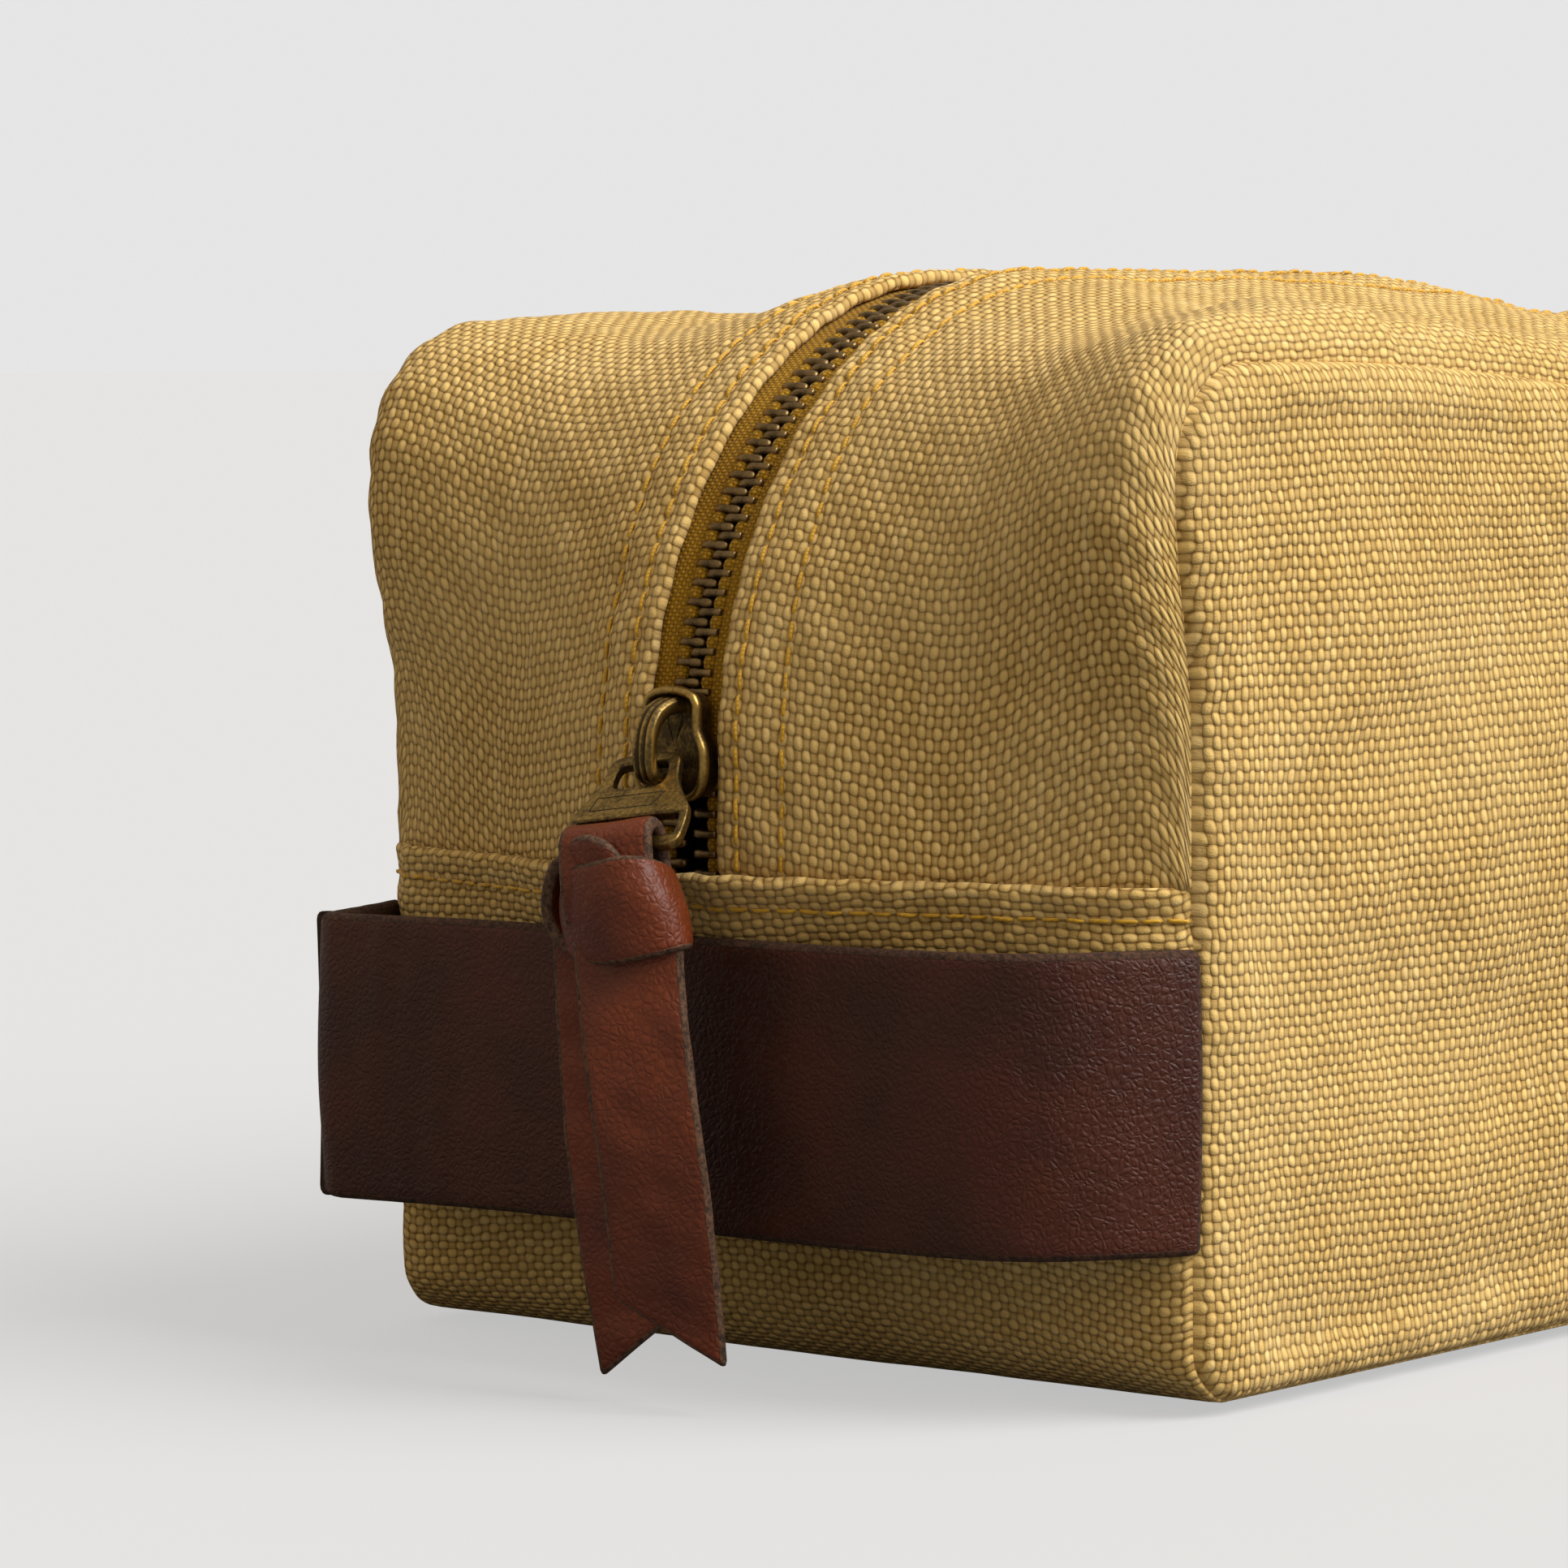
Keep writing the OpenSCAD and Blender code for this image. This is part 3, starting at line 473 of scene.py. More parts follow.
def makeMetal(name, bright, patina, rough, wearLow, wearHigh, scale=260.0):
    m, t, s = material(name, Metallic=1.0)
    place = put(t, "ShaderNodeTexCoord").outputs["Object"]
    cloud = put(t, "ShaderNodeTexNoise", {"Vector": place, "Scale": scale, "Detail": 6.0,
                                          "Roughness": 0.7})
    speck = put(t, "ShaderNodeTexNoise", {"Vector": place, "Scale": scale * 9, "Detail": 3.0})
    rubbed = calc(t, "ADD", mark(t, "wear"),
                  calc(t, "MULTIPLY", calc(t, "SUBTRACT", cloud.outputs[0], 0.5), 0.5))
    rubbed = calc(t, "ADD", rubbed, calc(t, "MULTIPLY", calc(t, "SUBTRACT", speck.outputs[0], 0.5), 0.35))
    w = remap(t, rubbed, wearLow, wearHigh)
    t.links.new(blendColours(t, w, colour(*patina), colour(*bright)), s.inputs["Base Color"])
    t.links.new(calc(t, "SUBTRACT", rough + 0.12, calc(t, "MULTIPLY", w, 0.16)), s.inputs["Roughness"])
    pitted = calc(t, "ADD", calc(t, "MULTIPLY", cloud.outputs[0], 0.6), speck.outputs[0])
    t.links.new(bumped(t, pitted, 0.02 * mm), s.inputs["Normal"])
    return m


canvasCloth = makeCanvas("mustardDuck", canvasLook)
liningCloth = makeCanvas("twillLining", {**canvasLook, "crown": (158, 136, 98), "gap": (104, 84, 54),
                                         "slub": (172, 152, 116), "across": 0.5, "along": 0.5,
                                         "depth": 0.15})
bindingCloth = makeCanvas("foldedBinding", {**canvasLook, "crown": (120, 98, 62), "gap": (74, 56, 30),
                                            "slub": (136, 114, 78), "across": 0.5, "along": 0.5,
                                            "depth": 0.15})
tapeCloth = makeCanvas("zipTape", {**canvasLook, "crown": (166, 122, 22), "gap": (84, 56, 6),
                                   "slub": (190, 146, 40), "across": 0.55, "along": 0.5,
                                   "wander": 0.03, "depth": 0.22, "roughness": 0.8}, slubs=0.1)
strapLeather = makeLeather("darkStrapLeather", (76, 32, 14), (52, 20, 8), (80, 52, 36), (76, 50, 32),
                           0.5, 1100.0, 0.13, crease=0.3)
pullLeather = makeLeather("redPullLeather", (112, 47, 16), (72, 27, 7), (104, 74, 54), (70, 44, 28),
                          0.42, 1000.0, 0.12, crease=0.2, coat=0.08)
antiqueBrass = makeMetal("antiqueBrass", (172, 142, 78), (70, 58, 40), 0.36, 0.42, 0.78)
darkBronze = makeMetal("darkBronze", (136, 112, 74), (58, 48, 36), 0.4, 0.45, 0.9, 400.0)


def makeThread():
    m, t, s = material("goldThread", Roughness=0.62)
    s.inputs["Sheen Weight"].default_value = 0.2
    place = put(t, "ShaderNodeTexCoord").outputs["Object"]
    n = put(t, "ShaderNodeTexNoise", {"Vector": place, "Scale": 700.0, "Detail": 3.0})
    t.links.new(blendColours(t, n.outputs[0], colour(160, 114, 4), colour(226, 176, 26)),
                s.inputs["Base Color"])
    twist = put(t, "ShaderNodeTexWave", {"Vector": place, "Scale": 900.0, "Distortion": 2.0},
                bands_direction="DIAGONAL")
    t.links.new(bumped(t, twist.outputs["Fac"], 0.05 * mm), s.inputs["Normal"])
    return m


goldThread = makeThread()
print("materials ready")

# ---- the bag's outer surface, in millimetres ----
bag = {
    "halfLength": 125.0, "halfWidth": 65.0, "seamHeight": 127.0, "cornerRadius": 14.0,
    "footRadius": 7.0, "cornerLean": 3.0, "bendRadius": 61.45, "bendInset": 43.0,
    "bendHeight": 77.5, "footIn": 6.0, "footCurve": 12.0, "seamFoot": 1.5, "foldHeight": 64.0,
    "earRidge": 5.5, "sideRidge": 1.6, "seamSag": 7.0, "crownSag": 6.0, "belly": 4.0,
    "canvas": 1.0, "hem": 2.0, "zipGap": 11.4, "clear": 0.3,
}
half, top, inset = bag["halfLength"], bag["halfLength"] + bag["cornerLean"], bag["bendInset"]
corner, arcX, arcZ = bag["cornerRadius"], half - inset, bag["bendHeight"]
edgeY = bag["halfWidth"] - 0.8
foldY = bag["zipGap"] / 2
foldZ = bag["foldHeight"]
rise, turn = bag["seamHeight"] - corner - arcZ, corner * pi / 2
run = rise + turn + top - corner - arcX
chainRadius = 59.0


def one(t):
    return float(smooth(t))


def lean(z):
    return bag["cornerLean"] * one((z - 83) / 28)


def seamOver(l):
    if l < rise:
        return half + lean(arcZ + l), arcZ + l
    if l < rise + turn:
        a = (l - rise) / corner
        return top - corner * (1 - cos(a)), bag["seamHeight"] - corner * (1 - sin(a))
    return top - corner - (l - rise - turn), bag["seamHeight"]


def endBelly(z):
    t = min(max((z - bag["footCurve"]) / (foldZ - bag["footCurve"]), 0), 1)
    return 4 - bag["footIn"] + (bag["bendRadius"] - inset + bag["footIn"] - 4) * t ** 1.3


def station(kind, v):
    # seam point, centre point, ridge direction, ridge height
    fr, fc, sf = bag["footRadius"], bag["footCurve"], bag["seamFoot"]
    low = half - bag["footIn"] - fc + 4
    if kind == "base":
        return v * (half - fr), sf, v * low, 0, 0, -1, 0
    if kind == "foot":
        a = radians(v)
        return (half - fr * (1 - sin(a)), sf + fr * (1 - cos(a)), low + fc * sin(a), fc * (1 - cos(a)),
                sin(a), -cos(a), bag["sideRidge"] * one((v - 30) / 60))
    if kind == "end":
        z = sf + fr + (arcZ - sf - fr) * (v - fc) / (arcZ - fc)
        out = bag["bendRadius"] - inset if v > foldZ else endBelly(v)
        return half + lean(z), z, half + out, v, 1, 0, bag["sideRidge"]
    if kind == "bend":
        l = run * v / 90
        a = radians(90 * min(max((l - rise + 8) / (turn + 16), 0), 1))
        sx, sz = seamOver(l)
        b = radians(v)
        return (sx, sz, arcX + bag["bendRadius"] * cos(b), arcZ + bag["bendRadius"] * sin(b), cos(a), sin(a),
                bag["sideRidge"] + (bag["earRidge"] - bag["sideRidge"]) * one((l + 4) / 34))
    return v * arcX, bag["seamHeight"], v * arcX, arcZ + bag["bendRadius"], 0, 1, bag["earRidge"] - 0.8


def tent(s):
    t = s / (edgeY - 8)
    shoulder = 1 - 0.1636 * np.clip((1 - t) / 0.18, 0, 1) ** 1.12
    return np.where(t >= 1, 1, np.where(t < 0.82, t * 1.02, shoulder))


def ridge(s):
    return np.where(s < 5, np.sqrt(np.clip(1 - (1 - s / 5) ** 2, 0, 1)), hump((s - 5) / 27))


def sagged(x, z, amount):
    return z - amount * smooth((z - 60) / 60)


def seamSag(x):
    return bag["seamSag"] * hump((x - 25) / 125)


def crownSag(x):
    return bag["crownSag"] * hump((x - 55) / 70)


def surface(rows, ys):
    # rows are (side, station); the grid of points at each row and y
    r = np.array([(side, *st) for side, st in rows], float)
    side, sx, sz, mx, mz, dx, dz, rh = (r[:, k:k + 1] for k in range(8))
    y = np.broadcast_to(np.asarray(ys, float), (len(rows), np.shape(ys)[-1]))
    s = edgeY - np.abs(y)
    w, q = tent(s), ridge(s) * rh
    sx, mx = side * sx, side * mx
    sz, mz = sagged(sx, sz, seamSag(sx)), sagged(mx, mz, crownSag(mx))
    return np.stack([sx + (mx - sx) * w + side * dx * q, y, sz + (mz - sz) * w + dz * q], axis=-1)


def normalsOf(g, sign=1):
    du = np.gradient(g, axis=0)
    dv = np.gradient(g, axis=1)
    return unit(np.cross(du, dv)) * sign


def overRows(low, nEnd, nBend, nTop):
    end = [(-1, station("end", z)) for z in np.linspace(low, arcZ, nEnd)]
    bend = [(-1, station("bend", 90 * i / nBend)) for i in range(1, nBend + 1)]
    flat = [(np.sign(x) or 1, station("top", abs(x))) for x in np.linspace(-1, 1, nTop + 1)[1:-1]]
    flip = lambda rows: [(1, st) for _, st in reversed(rows)]
    return end + bend + flat + flip(bend) + flip(end)


def underRows(nEnd, nFoot, nBase, high=None):
    end = [(-1, station("end", z)) for z in np.linspace(high or foldZ, bag["footCurve"], nEnd)]
    foot = [(-1, station("foot", 90 * (1 - i / nFoot))) for i in range(1, nFoot + 1)]
    base = [(np.sign(x) or 1, station("base", abs(x))) for x in np.linspace(-1, 1, nBase + 1)[1:-1]]
    return end + foot + base + [(1, st) for _, st in reversed(end + foot)]


def flush(y):
    return 1 - smooth((edgeY - np.abs(y)) / 8)


def clothGrid(g, anchorRow, anchorColumn):
    # distances along the cloth in millimetres, for the weave
    v = lengthAlong(g, 0)
    u = lengthAlong(g, 1)
    v = v - v[anchorRow:anchorRow + 1]
    u = u - u[:, anchorColumn:anchorColumn + 1]
    return np.stack([u, v], axis=-1)


cloth = {
    "dents": 0.55,         # slow hollows, in mm
    "dentLength": 34.0,
    "ripples": 0.16,       # finer unevenness
    "rippleLength": 9.0,
    "pucker": 0.24,        # gathers beside the sewing
    "puckerLength": 7.5,
    "rowDip": 0.3,         # how far a stitch row pulls in
    "zipRows": (3.0, 9.0),
    "foldRows": (3.3, 12.0),
}


def seamPucker(u, s, seed):
    # gathers that fade away from the seam
    phase = waves(u, s * 0.3, 30, seed) * 2.5
    gathers = cloth["pucker"] * np.sin(2 * pi * u / cloth["puckerLength"] + phase)
    return gathers * np.exp(-np.maximum(s, 0) / 5.0) * smooth(s / 1.5)


def unevenness(u, v, s, seed):
    calm = smooth((s - 2) / 14)
    return (cloth["dents"] * waves(u, v, cloth["dentLength"], seed) * calm
            + cloth["ripples"] * waves(u, v, cloth["rippleLength"], seed + 1) * smooth(s / 4))


canvasParts = []

# ---- zip strips: folded along the zip, curving from end to end over the top ----
seamCols = np.array([0, 0.35, 0.8, 1.4, 2.1, 2.9, 3.8, 4.8, 6, 7.3, 8.8])
midCols = np.arange(10.3, 49.6, 1.45)
for label, side in (("front", -1), ("rear", 1)):
    rows = overRows(foldZ - 8, 18, 92, 116)
    s = np.concatenate([seamCols, midCols, edgeY - np.arange(14.4, foldY + 1, -0.55), [edgeY - foldY - 1]])
    ys = -(edgeY - s)
    g = surface(rows, ys)
    if side > 0:
        g = g * np.array([1, -1, 1])
    nrm = normalsOf(g, -1 if side < 0 else 1)
    if nrm[len(rows) // 2, -1, 2] < 0:
        nrm = -nrm
    uv = clothGrid(g, len(rows) // 2, len(s) - 1)
    u, v = uv[..., 0], uv[..., 1]
    zs = np.array([st[3] for _, st in rows])[:, None]
    bottom = np.array([st[3] < foldZ and st[3] > 20 for _, st in rows])[:, None]
    toFold = (edgeY - foldY) - s[None, :]                 # distance from the folded edge
    sGrid = np.broadcast_to(s[None, :], u.shape)
    d = unevenness(u, v, np.minimum(sGrid, toFold * 0.8 + 1), 31 + side)
    d = d + seamPucker(v, sGrid, 5 + side)
    for rowAt in cloth["zipRows"]:
        near = bell((toFold - rowAt) / 0.8)
        d = d - cloth["rowDip"] * near * (1 + 0.5 * np.cos(2 * pi * v / 3.2))
    d = d + 0.16 * np.sin(2 * pi * v / 8.5 + waves(v, 0 * v, 40, 8 + side) * 3) * np.exp(-toFold / 5.5)
    d = d + 0.22 * bell((toFold - 10.6) / 1.2) + 0.18 * bell((toFold - 6) / 2.0)
    d = d - (bag["hem"] + bag["clear"]) * flush(ys)[None, :] * bottom
    d = d - 0.5 * bottom
    thick = np.where(toFold < 10.4, bag["hem"], bag["canvas"]) + 0 * d
    outer = g + nrm * d[..., None]
    inner = g + nrm * (d - thick)[..., None]
    o = shellPiece(f"canvasZipStrip{label.title()}", outer, inner, uv, seg=7)
    finished(o, "bag", canvasCloth, [f"zip_gusset_{label}"])
    canvasParts.append((outer, s, ys, side, label, rows, nrm, uv))
print("zip strips")

# ---- lower panel: both ends and the base in one strip, folded at its two top edges ----
s = np.concatenate([seamCols, np.arange(10.3, 63.5, 1.5)])
ys = np.concatenate([-(edgeY - s), [0], (edgeY - s)[::-1]])
rows = underRows(56, 14, 130)
g = surface(rows, ys)
nrm = normalsOf(g)
if nrm[len(rows) // 2, len(ys) // 2, 2] > 0:
    nrm = -nrm
uv = clothGrid(g, len(rows) // 2, len(ys) // 2)
u, v = uv[..., 0], uv[..., 1]
zs = np.array([st[3] for _, st in rows])[:, None]
sGrid = np.broadcast_to(edgeY - np.abs(ys)[None, :], u.shape)
fromFold = lengthAlong(g, 0)
fromFold = np.minimum(fromFold, fromFold[-1:] - fromFold)
floorward = 1 - smooth((zs - 4) / 14)
d = unevenness(u, v, np.minimum(sGrid, fromFold * 0.7 + 2), 61) * (1 - 0.85 * floorward)
d = d + seamPucker(v, sGrid, 71) * (1 - 0.7 * floorward)
lap = (bag["hem"] + bag["clear"]) * smooth((zs - foldZ + 22) / 13) * (1 - flush(ys))[None, :]
for rowAt in cloth["foldRows"]:
    d = d - cloth["rowDip"] * bell((fromFold - rowAt) / 0.8) * (1 + 0.5 * np.cos(2 * pi * u / 3.2))
d = d + 0.25 * np.sin(2 * pi * u / 8 + waves(u, 0 * u, 40, 77) * 3) * np.exp(-fromFold / 5)
d = d + 0.24 * bell((fromFold - 7.5) / 2.4)
thick = np.where(zs > foldZ - 11, bag["hem"], bag["canvas"]) + 0 * d
outer = g + nrm * (lap + d)[..., None]
outer[..., 2] = np.maximum(outer[..., 2], 0.02)
inner = g + nrm * (lap + d - thick)[..., None]
o = shellPiece("canvasLowerPanel", outer.transpose(1, 0, 2), inner.transpose(1, 0, 2),
               uv.transpose(1, 0, 2)[..., ::-1], seg=7)
finished(o, "bag", canvasCloth, ["bottom_gusset"])
lowerPart = (outer, nrm, ys, rows, fromFold)
print("lower panel")


# ---- front and rear panels ----
def panelOutline(count):
    pts = [station("base", t)[0:2] for t in np.linspace(0, 1, count)]
    pts += [station("foot", a)[0:2] for a in np.linspace(0, 90, 12)[1:]]
    pts += [(half, z) for z in np.linspace(bag["footCurve"] + 2, arcZ - 3, count // 2)]
    pts += [seamOver(l) for l in np.linspace(0, run, count)[1:]]
    pts += [(x, bag["seamHeight"]) for x in np.linspace(arcX, 0, count)[1:]]
    pts = np.array(pts)
    return np.vstack([pts, (pts * [-1, 1])[-2:0:-1]])


def evenRing(p, count):
    q = np.vstack([p, p[:1]])
    l = lengthAlong(q, 0)
    at = np.linspace(0, l[-1], count, endpoint=False)
    return np.stack([np.interp(at, l, q[:, k]) for k in range(2)], axis=1)


ring = evenRing(panelOutline(60), 420)
ring[:, 1] = sagged(ring[:, 0], ring[:, 1], seamSag(ring[:, 0]))
centre = np.array([0, bag["seamHeight"] / 2])
ringLength = lengthAlong(np.vstack([ring, ring[:1]]), 0)[:-1]
for label, side in (("front", -1), ("rear", 1)):
    fs = np.concatenate([np.linspace(0.02, 0.9, 40), np.linspace(0.9, 1, 17)[1:]])
    p = centre + (ring - centre)[None] * fs[:, None, None]
    away = np.linalg.norm(ring[None] - p, axis=-1)        # distance from the seam
    x, z = p[..., 0], p[..., 1]
    roll = 2.4
    curl = np.where(away < roll, roll - np.sqrt(np.clip(roll ** 2 - (roll - away) ** 2, 0, None)), 0)
    out = bag["belly"] * (1 - fs[:, None] ** 3) + 0.9 * hump((away - 7) / 9)
    out = out + unevenness(x, z, away, 91 + side) * 1.3 + seamPucker(ringLength[None], away, 95 + side)
    out = out + 1.2 * hump((x + 80) / 70) * hump((z - 80) / 50)
    y = edgeY + bag["clear"] + 1.0 + out - curl * 1.25
    outer = np.stack([x, side * y, z], axis=-1)
    inner = np.stack([x, side * (y - 1.0), z], axis=-1)
    outer[..., 2] = np.maximum(outer[..., 2], 0.05)
    rim = outer[-1] + np.array([0, -side * 1.4, 0])
    rings = list(outer) + [rim, rim + np.array([0, -side * 0.6, 0]) * 1.0] + list(inner[::-1] * 1.0)
    rings = [r for r in rings]
    tidy = []
    for k, r in enumerate(rings):
        if k >= len(outer) + 1:
            c = np.array([0, r[:, 1].mean(), centre[1]])
            r = c + (r - c) * np.array([0.985, 1, 0.985])
        tidy.append(r)
    allRings = np.array(tidy)
    uvs = allRings[..., [0, 2]] + np.stack([waves(allRings[..., 0], allRings[..., 2], 60, 3) * 0.8,
                                            waves(allRings[..., 0], allRings[..., 2], 60, 4) * 0.8], axis=-1)
    o = ringPiece(f"canvasPanel{label.title()}", allRings, uvs)
    finished(o, "bag", canvasCloth, [f"{label}_panel"])
print("panels")

# ---- handle strap ----
strap = {"width": 34.5, "thick": 2.4, "low": 21.0, "out": 20.5, "crease": 0.12, "foldRadius": 4.4}


def strapBow(y):
    t = np.clip((y + 65) / 24, 0, 1)
    return ((strap["out"] - strap["thick"] / 2) * (1 - (1 - t) ** 2.6)
            * (1 - 0.1 * (1 - smooth((y + 65) / 60))) + 3.2 * smooth((y - 8) / 50))


turnAt, r = bag["halfWidth"] - 10.5, strap["foldRadius"]
plan = [(y, float(strapBow(y))) for y in [-64.8, -64, -62, -59, *np.linspace(-55, turnAt, 26)]]
endOut = plan[-1][1]
plan += [(turnAt + r * sin(radians(a)), endOut - r * (1 - cos(radians(a)))) for a in (12, 28, 44, 60, 73)]
plan += [(bag["halfWidth"] - 0.4, 1.5)]
line = through(plan, 8)
along = lengthAlong(line, 0)
at = np.linspace(0, along[-1], 260)
line = np.stack([np.interp(at, along, line[:, k]) for k in range(2)], axis=1)
along = at
tangent = unit(np.gradient(line, axis=0))
outward = np.stack([-tangent[:, 1], tangent[:, 0]], axis=1)
t = np.linspace(0, 1, 34)
lift = np.linspace(strap["low"], strap["low"] + strap["width"], 34)
a, zz = np.meshgrid(along, lift, indexing="ij")
rear = smooth((a - 92) / 30)
wrinkle = strap["crease"] * rear * waves(a * 1.0, zz * 0.16, 5.2, 12) + 0.10 * waves(a, zz, 28, 13)
cup = -0.5 * ((zz - zz.mean()) / 17.0) ** 2
mid = line[:, None, :] + outward[:, None, :] * (wrinkle + cup)[..., None]
heights = zz + 0.25 * waves(a, 0 * a, 50, 15)
place = lambda p: np.stack([-half - p[..., 1], p[..., 0], heights], axis=-1)
outer = place(mid + outward[:, None, :] * strap["thick"] / 2)
inner = place(mid - outward[:, None, :] * strap["thick"] / 2)
o = shellPiece("handleStrap", outer, inner, np.stack([a, zz], -1), seg=5)
finished(o, "bag", strapLeather, ["handle_strap"])
print("strap")

# ---- zip line ----
zipper = {
    "pitch": 2.5, "tapeThick": 0.7, "start": 60.0,
    "sliderAngle": 2.5, "cord": 0.92, "parting": 1.6,
}
runEnd, runBend = arcZ - zipper["start"], chainRadius * pi / 2
chainLength = 2 * runEnd + 2 * runBend + 2 * arcX
sliderAt = runEnd + chainRadius * radians(zipper["sliderAngle"])


def chainHalf(l):
    if l < runEnd:
        return -arcX - chainRadius, zipper["start"] + l
    if l < runEnd + runBend:
        a = (l - runEnd) / chainRadius
        return -arcX - chainRadius * cos(a), arcZ + chainRadius * sin(a)
    return -arcX + l - runEnd - runBend, arcZ + chainRadius


def chainPoint(l):
    x, z = chainHalf(l) if l <= chainLength / 2 else chainHalf(chainLength - l)
    x = x if l <= chainLength / 2 else -x
    return x, float(sagged(x, z, crownSag(x)))


def overChain(l):
    h, (x, z) = min(l, chainLength - l), chainPoint(l)
    side = -1 if x < 0 else 1
    if h < runEnd:
        return side, station("end", max(z, foldZ + 0.2))
    if h < runEnd + runBend:
        return side, station("bend", degrees((h - runEnd) / chainRadius))
    return side, station("top", abs(x) / arcX)


def chainFrame(ls):
    p = np.array([chainPoint(l) for l in ls])
    d = unit(np.array([chainPoint(l + 0.5) for l in ls]) - np.array([chainPoint(l - 0.5) for l in ls]))
    point = np.stack([p[:, 0], 0 * p[:, 0], p[:, 1]], axis=1)
    along = np.stack([d[:, 0], 0 * d[:, 0], d[:, 1]], axis=1)
    out = np.stack([-d[:, 1], 0 * d[:, 0], d[:, 0]], axis=1)
    return point, along, out


def parting(l):
    return zipper["parting"] * smooth((sliderAt + 1.5 - l) / 5)


ls = np.concatenate([np.arange(0.6, 90, 0.55), np.arange(90, chainLength - 0.5, 0.9)])
point, _, outChain = chainFrame(ls)
rows = [overChain(l) for l in ls]
for label, side in (("front", -1), ("rear", 1)):
    ys = np.array([14.4, 13, 11.6, 10.2, 8.9, 7.8, 6.6, 5.4, 4.4, 3.6, 3.0])
    level = surface(rows, -np.array([8.0]))
    drop = ((level - surface(rows, -ys)) * outChain[:, None]).sum(-1)
    drop = np.clip(drop, 0, None) * 1.06 * (ys > 8)[None]
    wave = 0.12 * waves(ls[:, None], ys[None] * 2, 14, 21 + side)
    yGrid = np.broadcast_to(ys[None], drop.shape) + parting(ls)[:, None] * smooth((9 - ys) / 6)[None]
    base = point[:, None] + np.stack([0 * yGrid, side * yGrid, 0 * yGrid], -1)
    high = base + outChain[:, None] * (0.35 - drop + wave)[..., None]
    low = high - outChain[:, None] * zipper["tapeThick"]
    uv = np.stack([yGrid, np.broadcast_to(ls[:, None], yGrid.shape)], -1)
    flat = shellPiece("tape", high, low, uv, seg=3)
    # the beaded cord that the teeth grip
    yc = side * (2.15 + parting(ls))
    fromTooth = (ls - (4 if side < 0 else 5.25)) / zipper["pitch"]
    lump = zipper["cord"] * (0.86 + 0.16 * np.cos(2 * pi * fromTooth + pi))
    phis = np.linspace(0, 2 * pi, 12, endpoint=False)
    rings = (point[:, None] + np.stack([0 * ls, yc, 0 * ls], 1)[:, None]
             + np.array([0, 1, 0])[None, None] * (np.cos(phis)[None] * lump[:, None] * 1.15)[..., None]
             + outChain[:, None] * (np.sin(phis)[None] * lump[:, None])[..., None])
    uvs = np.stack([np.broadcast_to(phis * 0.9, rings.shape[:2]),
                    np.broadcast_to(ls[:, None], rings.shape[:2])], -1)
    bead = ringPiece("cordOfTape", rings, uvs)
    for part in (flat, bead):
        part.data.materials.append(tapeCloth)
    o = joined(f"zipTape{label.title()}", [flat, bead])
    finished(o, "bag", None, [f"zip_tape_{label}"])
print("zip tape")


# ---- geometry nodes: places a small shape along lines, turned to the surface ----
def alongTree():
    g = bpy.data.node_groups.new("placeAlongLine", "GeometryNodeTree")
    face = g.interface
    face.new_socket(name="Line", in_out="INPUT", socket_type="NodeSocketGeometry")
    for label, kind, value in (("Shape", "NodeSocketObject", None), ("Spacing", "NodeSocketFloat", 0.003),
                               ("Turn", "NodeSocketFloat", 0.05), ("Size change", "NodeSocketFloat", 0.05),
                               ("Seed", "NodeSocketInt", 3), ("Finish", "NodeSocketMaterial", None)):
        s = face.new_socket(name=label, in_out="INPUT", socket_type=kind)
        if value is not None:
            s.default_value = value
    face.new_socket(name="Result", in_out="OUTPUT", socket_type="NodeSocketGeometry")
    i, o = g.nodes.new("NodeGroupInput").outputs, g.nodes.new("NodeGroupOutput").inputs
    curve = put(g, "GeometryNodeMeshToCurve", {0: i["Line"]})
    spread = put(g, "GeometryNodeResampleCurve", {"Curve": curve.outputs[0], "Length": i["Spacing"]},
                 mode="LENGTH")
    tangent = put(g, "GeometryNodeInputTangent")
    up = put(g, "GeometryNodeInputNamedAttribute", {"Name": "up"}, data_type="FLOAT_VECTOR")
    first = put(g, "FunctionNodeAlignRotationToVector", {"Vector": tangent.outputs[0]}, axis="X")
    second = put(g, "FunctionNodeAlignRotationToVector",
                 {"Rotation": first.outputs[0], "Vector": up.outputs["Attribute"]}, axis="Z", pivot_axis="X")
    back = calc(g, "MULTIPLY", i["Turn"], -1.0)
    low = put(g, "ShaderNodeCombineXYZ", {0: 0.0, 1: back, 2: back})
    high = put(g, "ShaderNodeCombineXYZ", {0: 0.0, 1: i["Turn"], 2: i["Turn"]})
    wobble = put(g, "FunctionNodeRandomValue", {0: low.outputs[0], 1: high.outputs[0], "Seed": i["Seed"]},
                 data_type="FLOAT_VECTOR")
    toTurn = put(g, "FunctionNodeEulerToRotation", {0: wobble.outputs[0]})
    turned = put(g, "FunctionNodeRotateRotation", {0: second.outputs[0], 1: toTurn.outputs[0]},
                 rotation_space="LOCAL")
    small, large = calc(g, "SUBTRACT", 1.0, i["Size change"]), calc(g, "ADD", 1.0, i["Size change"])
    size = put(g, "FunctionNodeRandomValue", {2: small, 3: large, "Seed": i["Seed"]}, data_type="FLOAT")
    shape = put(g, "GeometryNodeObjectInfo", {"Object": i["Shape"]})
    placed = put(g, "GeometryNodeInstanceOnPoints",
                 {"Points": spread.outputs[0], "Instance": shape.outputs["Geometry"],
                  "Rotation": turned.outputs[0], "Scale": size.outputs[1]})
    real = put(g, "GeometryNodeRealizeInstances", {0: placed.outputs[0]})
    done = put(g, "GeometryNodeSetMaterial", {"Geometry": real.outputs[0], "Material": i["Finish"]})
    g.links.new(done.outputs[0], o[0])
    return g


